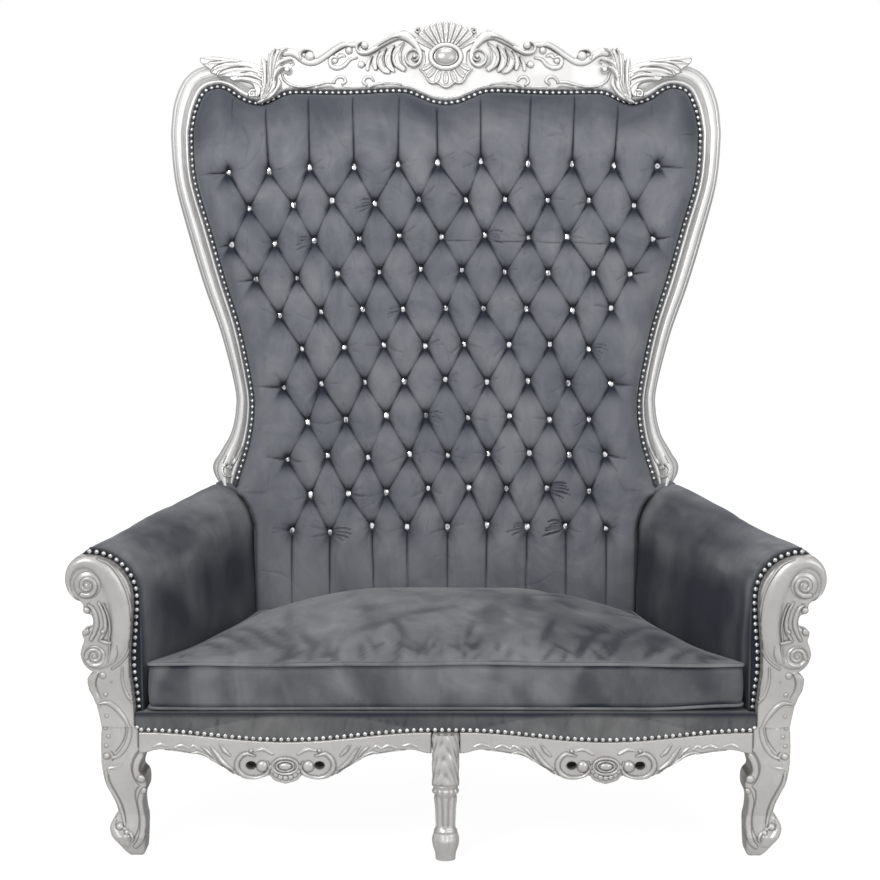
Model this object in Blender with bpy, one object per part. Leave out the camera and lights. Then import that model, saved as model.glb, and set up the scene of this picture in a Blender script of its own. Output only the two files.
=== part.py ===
"""Throne loveseat: a carved frame, a button tufted back, splayed scroll arms and a loose seat cushion.

Metres, +Z up. The front faces -Y, the feet stand on z = 0, and x = 0 is the middle of the seat.
Right is +X, on the right of someone who looks at the front.
"""

import math

import bmesh
import bpy
from mathutils import Vector
from mathutils.geometry import delaunay_2d_cdt

# Clearance that touching pieces keep
GAP = 0.0003

# The back leans: its front face crosses the seat line height at this depth
SEAT_LINE = 0.450
BACK_FACE_Y = 0.190
RECLINE = math.radians(8)
FRAME_DEPTH = 0.050

# Opening that the tufted pad fills, measured up the leaning back from the seat line
PAD_HALF_WIDTH = 0.626
PAD_TOP = 1.238
CREST_RISE = 0.160
CREST_PROUD = 0.008
STILE_WIDTH = 0.044
STILE_RELIEF = 0.016
STILE_FOOT_DROP = 0.0049
CLASP_X = PAD_HALF_WIDTH * 0.69409
# Where the crest's end meets the stile, between the crest's underside and the stile's first point
CREST_END_SHARE = 0.9

# Underside of the crest, from the middle out: share of the pad's half width, share of its top
CREST_UNDERSIDE_SHARES = [
    (0.000, 0.967), (0.050, 0.971), (0.093, 0.980), (0.175, 0.992), (0.390, 0.988),
    (0.585, 0.989), (0.640, 0.984),
]
# Inner edge of a stile, from the clasp round the shoulder and down to its foot on the arm: share
# of the pad's half width, share of the way from the foot to the pad's top, then the stile's width
# there as a share of STILE_WIDTH
STILE_SHARES = [
    (0.695, 0.9619, 1.60), (0.735, 0.9581, 1.70), (0.790, 0.9695, 1.50), (0.842, 0.9924, 1.25),
    (0.890, 1.0000, 1.15), (0.947, 0.9860, 1.18), (0.980, 0.9441, 1.14), (0.995, 0.9022, 1.05),
    (1.000, 0.8602, 1.00), (0.987, 0.7573, 0.95), (0.930, 0.6321, 1.02), (0.874, 0.5083, 0.98),
    (0.813, 0.3844, 0.88), (0.767, 0.2440, 0.74), (0.760, 0.1792, 0.80), (0.772, 0.1169, 0.92),
    (0.794, 0.0623, 1.22), (0.813, 0.0305, 1.34), (0.828, 0.0000, 0.62),
]
# Top edge of the crest: share of the pad's half width, share of CREST_RISE above the pad's top
CREST_TOP_SHARES = [
    (0.000, 0.960), (0.062, 0.925), (0.109, 0.860), (0.128, 0.800), (0.187, 0.780),
    (0.225, 0.715), (0.288, 0.570), (0.327, 0.660), (0.390, 0.600), (0.455, 0.455),
    (0.503, 0.390), (0.538, 0.515), (0.593, 0.495), (0.640, 0.500),
]
# A stile's section: share of its width from the inner edge, share of STILE_RELIEF
STILE_SECTION_SHARES = [
    (0.00, 0.15), (0.10, 0.55), (0.22, 0.20), (0.38, 0.85), (0.56, 1.00), (0.78, 0.60), (1.00, 0.10),
]

# Tufted pad: rows of buttons up the back, and the furthest button of each row in half spacings
PAD_BACK = 0.015
PAD_RIM = 0.001
PAD_FLOOR = 0.014
PAD_PILLOW = 0.026
PAD_SHOULDER = 0.045
NAIL_BAND = 0.012
# The button lattice spans the pad: its top row and its row pitch are shares of PAD_TOP, and its
# half spacing in the top and the lowest row are shares of PAD_HALF_WIDTH
BUTTON_TOP_ROW_SHARE = 0.8368
BUTTON_ROW_PITCH_SHARE = 0.0711
BUTTON_HALF_PITCH_SHARES = (0.0831, 0.0759)
BUTTON_REACH = (10, 9, 10, 9, 8, 7, 8, 7, 8, 7, 8)
FOLD_SHARE = 0.45
# A pillow's top stays broad: height kept at this share of the way out to its folds
PILLOW_SHOULDER_SHARES = (0.55, 0.86)
PAD_RIM_STEP = 0.045
PAD_SPARE_EDGE = 0.015
# The pad thins toward its foot, behind the cushion, to this share of its full height
PAD_FOOT_SHARE = 0.20
POST_PROUD_SHARE = 1.1

# Nail head trim: a strip with a low flat crown
NAIL_STRIP_WIDTH = 0.009
NAIL_STRIP_HEIGHT = 0.005
# Its section: share of the width from its middle, share of the height
STRIP_SHARES = ((-0.50, 0.0), (-0.28, 1.0), (0.28, 1.0), (0.50, 0.0))

# Back boards
BACK_PANEL_THICKNESS = 0.0057
CROSS_RAIL_HEIGHT = 0.060
CROSS_RAIL_UP = 0.620
# How far a back post stands out beyond the stile foot that it carries
POST_OUT = 0.0306

# Seat frame
RAIL_BOTTOM = 0.2365
RAIL_HEIGHT = 0.0485
RAIL_THICKNESS = 0.030
REAR_RAIL_THICKNESS = 0.065
REAR_RAIL_FRONT_Y = 0.140
CENTRE_RAIL_WIDTH = 0.050
CORNER_BLOCK_SIZE = 0.085
WEBBING_THICKNESS = 0.002
WEBBING_BAND = 0.050
WEBBING_REST = 0.0195
WEBBING_COLUMNS = 5
WEBBING_ROWS = 3
DUST_COVER_THICKNESS = 0.0015
DUST_COVER_REST = 0.013
DECK_THICKNESS = 0.0255

# Front, from the front of the carved parts backward
FRONT_LEG_Y = -0.400
APRON_FACE_Y = -0.410
APRON_THICKNESS = 0.026
BORDER_THICKNESS = 0.016
FACING_THICKNESS = 0.025
LEG_DEPTH = 0.070
LEG_INNER_X = 0.646
LEG_WIDTH = 0.085

# Apron: its top edge follows the nail line, its lower edge hangs in lobes under each bay's middle
APRON_TOP = 0.2735
APRON_DIP = 0.021
APRON_DROP = 0.1115
APRON_HOLE_WIDTH = 0.020
APRON_HOLE_HEIGHT = 0.015
APRON_HOLE_OFFSET = 0.071
APRON_HOLE_DOWN = 0.067
APRON_HOLE_SIDES = 10
# Lower edge from the bay's middle to its end: share of the half bay, share of APRON_DROP
APRON_EDGE_SHARES = [
    (0.000, 1.000), (0.081, 0.928), (0.115, 0.830), (0.214, 0.892), (0.324, 0.839), (0.422, 0.668),
    (0.503, 0.534), (0.584, 0.435), (0.681, 0.381), (0.779, 0.345), (0.876, 0.336), (0.951, 0.390),
    (1.000, 0.408),
]
BOSS_HALF_WIDTH = 0.030
BOSS_HALF_HEIGHT = 0.020
BOSS_HEIGHT = 0.012

# Outer front leg, from the top down: share of the rails' top height, inner and outer x as shares
# of LEG_WIDTH from the inner edge, front and back as shares of LEG_DEPTH from the front
FRONT_LEG_SHARES = [
    (1.000, 0.00, 0.93, 0.00, 1.00), (0.880, 0.00, 0.95, -0.05, 1.00), (0.755, 0.00, 0.95, -0.08, 1.00),
    (0.710, -0.03, 0.93, -0.08, 0.97), (0.610, -0.14, 0.89, -0.05, 0.92),
    (0.510, -0.16, 0.78, 0.02, 0.86), (0.445, -0.06, 0.69, 0.08, 0.80), (0.355, -0.07, 0.59, 0.12, 0.76),
    (0.280, -0.12, 0.72, 0.02, 0.80), (0.193, -0.11, 0.76, -0.08, 0.84), (0.105, -0.08, 0.58, 0.02, 0.78),
    (0.000, -0.06, 0.42, 0.10, 0.70),
]
LEG_CORNER_SHARE = 0.28
CENTRE_LEG_HALF_WIDTH = 0.029
CENTRE_LEG_HALF_DEPTH = 0.0246
CENTRE_LEG_SIDES = 12
# Centre leg, from the top down: share of its height, share of its half width and depth
CENTRE_LEG_SHARES = [
    (1.000, 0.97), (0.620, 1.00), (0.600, 0.80), (0.572, 0.78), (0.560, 0.92), (0.525, 0.90),
    (0.510, 0.78), (0.280, 0.66), (0.262, 0.82), (0.240, 0.84), (0.225, 0.90), (0.185, 1.00),
    (0.110, 0.92), (0.050, 0.74), (0.000, 0.72),
]
REAR_LEG_X = 0.510
REAR_LEG_WIDTH = 0.060
REAR_LEG_DEPTH = 0.046
REAR_LEG_RAKE = 0.125
REAR_LEG_FOOT_SHARE = 0.62

# Arm: its inner face runs back and inward from the facing to the back post
ARM_FRONT_INNER_X = 0.643
# Inner face at the back post as a share of PAD_HALF_WIDTH, so that the arms close on the pad's waist
ARM_REAR_INNER_SHARE = 0.73562
ARM_PAD_THICKNESS = 0.034
ARM_ROLL_RADIUS = 0.103
ARM_ROLL_CENTRE_HEIGHT = 0.557
ARM_ROLL_OUT = 0.140
FACING_ARC_STEPS = 6
PAD_ARC_STEPS = 4
# Outer side of the roll: share of ARM_ROLL_OUT out, share of the way up from the lip to the top
ARM_OVER_SHARES = [(0.93, 0.85), (1.00, 0.52), (0.95, 0.20)]
ARM_LIP_WIDTH = 0.016
ARM_LIP_HEIGHT = 0.543
ARM_RISE = 0.056
ARM_REAR_WIDTH_SHARE = 0.90
# Along the arm, front to back: share of its length, share of the inward run, share of the rise
ARM_PATH_SHARES = [
    (0.00, 0.00, 0.00), (0.13, 0.03, 0.02), (0.27, 0.14, 0.08), (0.41, 0.29, 0.22),
    (0.66, 0.55, 0.50), (0.86, 0.83, 0.90), (1.00, 1.00, 1.00),
]
ARM_RAIL_HEIGHT = 0.044
ARM_POST_DEPTH = 0.042
ARM_POST_WIDTH = 0.029
ARM_PANEL_THICKNESS = 0.010
SIDE_RAIL_INSET = 0.030
SIDE_RAIL_THICKNESS = 0.0575
# Outer edge of the carved facing, from the top of the roll down: share of ARM_ROLL_OUT from the
# arm's inner face, share of the facing's height
FACING_OUTER_SHARES = [
    (0.85, 0.992), (1.00, 0.950), (1.060, 0.890), (1.050, 0.822), (0.970, 0.757), (0.850, 0.722),
    (0.765, 0.708), (0.800, 0.680), (0.700, 0.650), (0.680, 0.615), (0.800, 0.580), (0.835, 0.540),
    (0.790, 0.505), (0.870, 0.455), (0.850, 0.395), (0.750, 0.340), (0.730, 0.300), (0.770, 0.240),
    (0.745, 0.150), (0.660, 0.075), (0.590, 0.000),
]
SCROLL_RADIUS = 0.008
VOLUTE_STEPS = 9
VOLUTE_EYE_SHARE = 0.22
# A scroll's wire at its eyes and at its thickest, as shares of SCROLL_RADIUS
CREST_SCROLL_SHARES = (0.60, 1.15)
FACING_SCROLL_SHARES = (0.60, 1.00)
# Carved scroll of the facing: centre and radius of its two volutes, and the run between them
FACING_VOLUTE_SHARES = (0.755, 0.810, 0.270)
FACING_CURL_SHARES = (0.675, 0.430, 0.170)
FACING_RUN_SHARES = [(0.300, 0.880), (0.190, 0.760), (0.190, 0.640), (0.260, 0.500)]

# Loose cushion and its welts
CUSHION_FRONT_Y = -0.385
CUSHION_BACK_Y = 0.148
CUSHION_SIDE_CLEARANCE = 0.016
CUSHION_EDGE = 0.105
CUSHION_CROWN = 0.055
CUSHION_DRAW = 0.007
CUSHION_PUFF = 0.004
WELT_RADIUS = 0.0045
CUSHION_COLUMNS = 20
CUSHION_ROWS = 12
CUSHION_DOME_POWER = 3
WELT_SEAM_SHARE = 2.4

# Crest ornaments, placed up the back from the crest's own top and the middle
ORNAMENT_THICKNESS = 0.014
# The shell spreads with the crest
SHELL_SPREAD = CLASP_X * 0.20713
SHELL_RADIUS = 0.090
SHELL_DOWN = 0.0935
SHELL_SCALLOP_SHARE = 0.035
# Height of its ridges, of the hollows between them and of its edge, as shares of the thickness
SHELL_RELIEF_SHARES = (1.35, 0.90, 0.70)
SHELL_RIDGE_SHARES = (0.45, 0.80)
# Shell radius round its centre, from straight up to straight down, as shares of SHELL_RADIUS
SHELL_OUTLINE_SHARES = [
    1.00, 1.00, 0.985, 0.97, 0.90, 0.78, 0.64, 0.58, 0.58, 0.60, 0.64, 0.72, 0.80, 0.84, 0.86,
]
CABOCHON_HALF_WIDTH = 0.031
CABOCHON_HALF_HEIGHT = 0.025
CABOCHON_HEIGHT = 0.014
# An oval dome's edge height, then how far out and how high its shoulder stands
DOME_SHARES = (0.25, 0.70, 0.80)
DOME_SIDES = 16
# Crest scroll: run between its two volutes, as shares of the clasp's x and of CREST_RISE up
# from the pad's top, then each volute's centre and radius
CREST_VOLUTE_SHARES = (0.178, 0.400, 0.045)
CREST_EYE_SHARES = (0.772, 0.420, 0.038)
CREST_RUN_SHARES = [(0.245, 0.770), (0.330, 0.680), (0.430, 0.550), (0.520, 0.600), (0.640, 0.480)]
# Leaf outlines: shares of the leaf's own length and breadth
ACANTHUS_SHARES = [
    (0.00, 0.62), (0.10, 0.16), (0.20, 0.40), (0.30, 0.06), (0.42, 0.34), (0.53, 0.00), (0.64, 0.30),
    (0.74, 0.04), (0.86, 0.36), (0.96, 0.14), (1.00, 0.55), (0.90, 0.90), (0.70, 0.84), (0.50, 1.00),
    (0.25, 0.90),
]
ACANTHUS_LENGTH = PAD_HALF_WIDTH * 0.21565
ACANTHUS_BREADTH = 0.048
ACANTHUS_X = PAD_HALF_WIDTH * 0.13898
ACANTHUS_DOWN = 0.137
WING_SHARES = [
    (0.00, 0.10), (0.14, 0.00), (0.20, 0.22), (0.36, 0.14), (0.42, 0.38), (0.58, 0.32), (0.62, 0.56),
    (0.78, 0.52), (0.84, 0.72), (1.00, 0.98), (0.80, 1.00), (0.55, 0.94), (0.28, 0.80), (0.00, 0.62),
]
WING_LENGTH = PAD_HALF_WIDTH * 0.23962
WING_BREADTH = 0.076
WING_X = PAD_HALF_WIDTH * 0.72204
WING_DOWN = 0.168
CLASP_LEAF_SHARES = [
    (0.50, 0.00), (0.66, 0.10), (0.80, 0.06), (0.86, 0.26), (1.00, 0.36), (0.90, 0.52), (0.98, 0.70),
    (0.80, 0.80), (0.72, 0.96), (0.50, 1.00), (0.28, 0.96), (0.20, 0.80), (0.02, 0.70), (0.10, 0.52),
    (0.00, 0.36), (0.14, 0.26), (0.20, 0.06), (0.34, 0.10),
]
CLASP_LEAF_WIDTH = PAD_HALF_WIDTH * 0.10863
CLASP_LEAF_HEIGHT = 0.128
CLASP_LEAF_X = PAD_HALF_WIDTH * 0.66294
CLASP_LEAF_DOWN = 0.203

COLLECTION_NAME = "throne_loveseat"
SILVER = (0.72, 0.71, 0.69, 1.0)
VELVET = (0.17, 0.18, 0.20, 1.0)
NICKEL = (0.55, 0.54, 0.50, 1.0)
BEECH = (0.55, 0.40, 0.25, 1.0)
JUTE = (0.50, 0.42, 0.30, 1.0)
LINING = (0.05, 0.05, 0.055, 1.0)


def clear_scene():
    for obj in list(bpy.data.objects):
        bpy.data.objects.remove(obj)


def new_collection(name):
    collection = bpy.data.collections.new(name)
    bpy.context.scene.collection.children.link(collection)
    return collection


def finish(obj, colour, roughness, metallic):
    """Give an object a material of its own."""
    material = bpy.data.materials.new(obj.name + "_finish")
    material.use_nodes = True
    shader = material.node_tree.nodes["Principled BSDF"]
    shader.inputs["Base Color"].default_value = colour
    shader.inputs["Roughness"].default_value = roughness
    shader.inputs["Metallic"].default_value = metallic
    obj.data.materials.append(material)
    return obj


def silver(obj):
    return finish(obj, SILVER, 0.38, 0.85)


def velvet(obj):
    return finish(obj, VELVET, 0.95, 0.0)


def nickel(obj):
    return finish(obj, NICKEL, 0.30, 1.0)


def beech(obj):
    return finish(obj, BEECH, 0.70, 0.0)


# Shape helpers


def ease(value):
    """Smooth step from 0 to 1."""
    value = min(max(value, 0.0), 1.0)
    return value * value * (3 - 2 * value)


def blend(low, high, share):
    return low + (high - low) * share


def smooth_line(points, steps, closed=False):
    """Points of a smooth curve through the given points, with steps per span."""
    count = len(points)
    spans = count if closed else count - 1
    line = []
    for span in range(spans):
        if closed:
            before, start, end, after = (points[(span + k) % count] for k in (-1, 0, 1, 2))
        else:
            before = points[max(span - 1, 0)]
            start = points[span]
            end = points[span + 1]
            after = points[min(span + 2, count - 1)]
        for step in range(steps):
            t = step / steps
            line.append(tuple(
                0.5 * (2 * b + (c - a) * t + (2 * a - 5 * b + 4 * c - d) * t**2
                       + (3 * b - a - 3 * c + d) * t**3)
                for a, b, c, d in zip(before, start, end, after)
            ))
    if not closed:
        line.append(tuple(points[-1]))
    return line


def line_normals(line, closed=False):
    """Unit normals on the left of a line's direction of travel, in its own plane."""
    normals = []
    count = len(line)
    for index in range(count):
        if closed:
            before, after = line[index - 1], line[(index + 1) % count]
        else:
            before, after = line[max(index - 1, 0)], line[min(index + 1, count - 1)]
        along = Vector((after[0] - before[0], after[1] - before[1])).normalized()
        normals.append(Vector((-along.y, along.x)))
    return normals


def offset_line(line, distance, closed=False):
    """The line moved to its left by a distance, kept parallel at each corner."""
    moved = []
    count = len(line)
    for index, normal in enumerate(line_normals(line, closed)):
        here = Vector(line[index][:2])
        if closed or 0 < index < count - 1:
            step = Vector(line[(index + 1) % count][:2]) - here
            side = Vector((-step.y, step.x)).normalized()
            reach = distance / max(normal.dot(side), 0.5)
        else:
            reach = distance
        moved.append(tuple(here + normal * reach))
    return moved


def distance_to_line(point, line, closed=False):
    """Least distance from a point to a line of straight spans."""
    here = Vector(point)
    best = math.inf
    spans = len(line) if closed else len(line) - 1
    for index in range(spans):
        start = Vector(line[index])
        along = Vector(line[(index + 1) % len(line)]) - start
        share = min(max((here - start).dot(along) / max(along.length_squared, 1e-12), 0.0), 1.0)
        best = min(best, (start + along * share - here).length)
    return best


def inside(point, outline):
    """True where a point lies inside a closed outline."""
    within = False
    x, z = point
    for index, (x0, z0) in enumerate(outline):
        x1, z1 = outline[index - 1]
        if (z0 > z) != (z1 > z) and x < x0 + (z - z0) * (x1 - x0) / (z1 - z0):
            within = not within
    return within


def volute(centre, radius, turns, start, spin):
    """Points of a spiral that opens from a fifth of its radius, from its eye outward."""
    count = max(int(round(turns * VOLUTE_STEPS)), 2)
    points = []
    for index in range(count + 1):
        share = index / count
        angle = start - spin * 2 * math.pi * turns * (1 - share)
        reach = radius * blend(VOLUTE_EYE_SHARE, 1.0, share)
        points.append((centre[0] + reach * math.cos(angle), centre[1] + reach * math.sin(angle)))
    return points


# Mesh builders


def new_object(name, mesh, y=0.0, parent=None):
    obj = bpy.data.objects.new(name, mesh)
    obj.location.y = y
    obj.parent = parent
    parts.objects.link(obj)
    return obj


def mesh_object(name, bm, y=0.0, parent=None):
    """An object from a closed bmesh, with its faces turned outward and smooth below 40 degrees."""
    bmesh.ops.recalc_face_normals(bm, faces=bm.faces)
    mesh = bpy.data.meshes.new(name)
    bm.to_mesh(mesh)
    bm.free()
    mesh.shade_smooth()
    mesh.set_sharp_from_angle(angle=math.radians(40))
    return new_object(name, mesh, y, parent)


def loft(name, rings, y=0.0, parent=None):
    """A closed solid through rings of points, capped at both ends."""
    bm = bmesh.new()
    made = [[bm.verts.new(point) for point in ring] for ring in rings]
    size = len(rings[0])
    for low, high in zip(made, made[1:]):
        for index in range(size):
            after = (index + 1) % size
            bm.faces.new((low[index], low[after], high[after], high[index]))
    bm.faces.new(made[0])
    bm.faces.new(list(reversed(made[-1])))
    return mesh_object(name, bm, y, parent)


def box(name, low, high, y=0.0, parent=None):
    """A board between two corners."""
    bm = bmesh.new()
    bmesh.ops.create_cube(bm, size=1)
    size = [b - a for a, b in zip(low, high)]
    middle = [(a + b) / 2 for a, b in zip(low, high)]
    bmesh.ops.scale(bm, verts=bm.verts, vec=size)
    bmesh.ops.translate(bm, verts=bm.verts, vec=middle)
    return mesh_object(name, bm, y, parent)


def relief(name, outline, back, edge, interior=(), creases=(), y=0.0, parent=None):
    """A plate with a flat back and a modelled front.

    outline is a list of (x, z), interior a list of (x, z, height), and creases pairs of interior
    points that an edge joins. Heights stand forward, toward -Y; back is the depth behind zero.
    """
    count = len(outline)
    flat = [Vector(point) for point in outline] + [Vector(point[:2]) for point in interior]
    heights = [edge] * count + [point[2] for point in interior]
    links = [(count + a, count + b) for a, b in creases]
    spots, _, faces, origins, _, _ = delaunay_2d_cdt(flat, links, [list(range(count))], 1, 1e-7)
    bm = bmesh.new()
    front = [
        bm.verts.new((spot.x, -heights[origin[0]], spot.y)) for spot, origin in zip(spots, origins)
    ]
    at = {origin: index for index, found in enumerate(origins) for origin in found}
    rear = [bm.verts.new((x, back, z)) for x, z in outline]
    for face in faces:
        bm.faces.new([front[index] for index in face])
    for index in range(count):
        after = (index + 1) % count
        bm.faces.new((front[at[index]], front[at[after]], rear[after], rear[index]))
    bm.faces.new(list(reversed(rear)))
    return mesh_object(name, bm, y, parent)


def strip(name, line, normals, width, height, y=0.0, parent=None):
    """A low crowned strip along a line in the XZ plane, standing forward from y = 0."""
    rings = []
    for point, normal in zip(line, normals):
        here = Vector(point)
        ring = []
        for across, up in STRIP_SHARES:
            spot = here + normal * (across * width)
            ring.append((spot.x, -up * height, spot.y))
        rings.append(ring)
    return loft(name, rings, y, parent)


def tube(name, points, radius, closed=False, sides=2, tapers=None, y=0.0, parent=None):
    """A round wire along points, with filled ends."""
    data = bpy.data.curves.new(name, "CURVE")
    data.dimensions = "3D"
    data.bevel_depth = radius
    data.bevel_resolution = sides
    data.use_fill_caps = not closed
    spline = data.splines.new("POLY")
    spline.points.add(len(points) - 1)
    spline.use_cyclic_u = closed
    for index, (spot, point) in enumerate(zip(spline.points, points)):
        spot.co = (*point, 1)
        spot.radius = tapers[index] if tapers else 1
    return new_object(name, data, y, parent)


def flat_board(name, splines, thickness, y, parent=None):
    """A board cut from outlines in the XZ plane, holes among them, centred on y."""
    data = bpy.data.curves.new(name, "CURVE")
    data.dimensions = "2D"
    data.fill_mode = "BOTH"
    data.extrude = thickness / 2
    for points in splines:
        spline = data.splines.new("POLY")
        spline.points.add(len(points) - 1)
        spline.use_cyclic_u = True
        for spot, (x, z) in zip(spline.points, points):
            spot.co = (x, z, 0, 1)
    board = new_object(name, data, y, parent)
    board.rotation_euler.x = math.pi / 2
    return board


def mirrored(points, side):
    """Points of a right hand outline, turned over for the left side."""
    return [(side * point[0], *point[1:]) for point in points]


SIDES = (("left", -1), ("right", 1))


# Places on the leaning back


def up_back(height):
    """Distance up the leaning back from the seat line to a height."""
    return (height - SEAT_LINE) / math.cos(RECLINE)


def back_y(height, proud=0.0):
    """Y of the plane that stands proud of the back's front face, at a height."""
    return BACK_FACE_Y + (height - SEAT_LINE) * math.tan(RECLINE) - proud / math.cos(RECLINE)


def back_point(x, proud, up):
    """World place of a point given across, in front of and up the leaning back."""
    y = BACK_FACE_Y + up * math.sin(RECLINE) - proud * math.cos(RECLINE)
    z = SEAT_LINE + up * math.cos(RECLINE) + proud * math.sin(RECLINE)
    return (x, y, z)


def crest_underside():
    """Lower edge of the crest from the middle to the clasp, right half."""
    points = [(x * PAD_HALF_WIDTH, z * PAD_TOP) for x, z in CREST_UNDERSIDE_SHARES]
    return smooth_line(points, 2)


def stile_inner():
    """Inner edge of the right stile from the clasp down, with the stile's width at each point."""
    foot = up_back(ARM_TOP + ARM_RISE) - STILE_FOOT_DROP
    points = []
    for across, up, width in STILE_SHARES:
        points.append((across * PAD_HALF_WIDTH, blend(foot, PAD_TOP, up), width * STILE_WIDTH))
    return smooth_line(points, 2)


POST_FRONT = STILE_RELIEF * POST_PROUD_SHARE
RAIL_TOP = RAIL_BOTTOM + RAIL_HEIGHT
SEAT_TOP = RAIL_TOP + GAP
DECK_TOP = RAIL_TOP + WEBBING_THICKNESS + 2 * GAP + DECK_THICKNESS
RAIL_FRONT_Y = APRON_FACE_Y + APRON_THICKNESS + GAP
RAIL_BACK_Y = RAIL_FRONT_Y + RAIL_THICKNESS
CENTRE_LEG_Y = RAIL_FRONT_Y - GAP - CENTRE_LEG_HALF_DEPTH
FACING_BACK_Y = FRONT_LEG_Y + FACING_THICKNESS
ARM_FRONT_Y = FACING_BACK_Y + GAP
ARM_TOP = ARM_ROLL_CENTRE_HEIGHT + ARM_ROLL_RADIUS
PAD_FOOT = up_back(SEAT_TOP) + PAD_BACK * math.tan(RECLINE) + GAP


def arm_end(angle):
    """Where a point of the arm's roll meets the leaning back, given by its angle round the roll."""
    inner, rise, scale = arm_station(*ARM_PATH_SHARES[-1][1:])
    out = ARM_ROLL_RADIUS * (1 + math.cos(angle))
    height = ARM_ROLL_CENTRE_HEIGHT + ARM_ROLL_RADIUS * math.sin(angle)
    height += rise * (height - SEAT_TOP) / (ARM_TOP - SEAT_TOP)
    return (inner + out * scale, up_back(height) - POST_FRONT * math.tan(RECLINE))


def pad_side():
    """Right edge of the pad below the stile, which the arm's end and the post follow."""
    end = stile_inner()[-1][:2]
    roll = [arm_end(math.radians(angle)) for angle in (135, 157.5, 180)]
    return [end] + roll + [(roll[-1][0], PAD_FOOT)]


def pad_outline():
    """Closed outline of the tufted pad, inside the frame by the working gap."""
    right = crest_underside() + [(x, z) for x, z, _ in stile_inner()[:-1]] + pad_side()
    left = mirrored(reversed(right[1:]), -1)
    return offset_line(left + right, -GAP * 1.5, closed=True)


def arm_station(inward_share, rise_share):
    """Inner x, rise and width scale of the arm at one of its stations."""
    inner = blend(ARM_FRONT_INNER_X, PAD_HALF_WIDTH * ARM_REAR_INNER_SHARE + GAP, inward_share)
    return inner, rise_share * ARM_RISE, blend(1.0, ARM_REAR_WIDTH_SHARE, inward_share)


def arm_y(along_share, height, front_y):
    """Depth of a point along the arm, which ends against the leaning back."""
    return blend(front_y, back_y(height, POST_FRONT + GAP), along_share)


def arm_loft(name, section, side, front_y, rises=True):
    """A piece that follows the arm: section is (distance out from the inner face, height)."""
    rings = []
    for along, inward, rise_share in ARM_PATH_SHARES:
        inner, rise, scale = arm_station(inward, rise_share if rises else 0.0)
        ring = []
        for out, height in section:
            lifted = height + rise * (height - SEAT_TOP) / (ARM_TOP - SEAT_TOP)
            ring.append((side * (inner + out * scale), arm_y(along, lifted, front_y), lifted))
        rings.append(ring)
    return loft(name, rings)


# The back


def crest_rail():
    """Top board of the back, its upper edge cut to the carving's outline."""
    under = crest_underside()
    over = [(x * PAD_HALF_WIDTH, PAD_TOP + z * CREST_RISE) for x, z in CREST_TOP_SHARES]
    end_up = blend(under[-1][1], stile_inner()[0][1], CREST_END_SHARE)
    end = [(CLASP_X - GAP, over[-1][1]), (CLASP_X - GAP, end_up)]
    right = over + end + list(reversed(under[1:]))
    outline = right + [under[0]] + mirrored(reversed(right[1:]), -1)
    silver(relief("crest_rail", outline, FRAME_DEPTH, CREST_PROUD, parent=back_tilt))


def back_stile(name, side):
    """Moulded side of the back, from the clasp round the shoulder to its scroll foot."""
    line = stile_inner()
    rings = []
    normals = line_normals(line)
    for (x, z, width), normal in zip(line, normals):
        ring = [(side * x, FRAME_DEPTH, z)]
        for across, height in STILE_SECTION_SHARES:
            spot = Vector((x, z)) + normal * (across * width)
            ring.append((side * spot.x, -height * STILE_RELIEF, spot.y))
        outer = Vector((x, z)) + normal * width
        ring.append((side * outer.x, FRAME_DEPTH, outer.y))
        rings.append(ring)
    first = rings[0]
    join = CLASP_X + GAP
    rings[0] = [(side * join, y, z) for _, y, z in first]
    silver(loft(name, rings, parent=back_tilt))


def half_pitch(row):
    """Half the spacing of the buttons in a row, counted from the top."""
    share = min(max(row / (len(BUTTON_REACH) - 1), 0.0), 1.0)
    return PAD_HALF_WIDTH * blend(*BUTTON_HALF_PITCH_SHARES, share)


def lattice_spot(row, step):
    """Place of a point of the button lattice, across and up the back."""
    return (step * half_pitch(row), PAD_TOP * (BUTTON_TOP_ROW_SHARE - row * BUTTON_ROW_PITCH_SHARE))


def button_places(outline):
    """(x, up, row, step) of each button hole, steps counted in half spacings from the middle."""
    places = []
    for row, reach in enumerate(BUTTON_REACH):
        for step in range(-reach, reach + 1, 2):
            spot = lattice_spot(row, step)
            clear = distance_to_line(spot, outline, closed=True) > NAIL_BAND + PAD_SPARE_EDGE
            if clear and inside(spot, outline):
                places.append((*spot, row, step))
    return places


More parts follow.
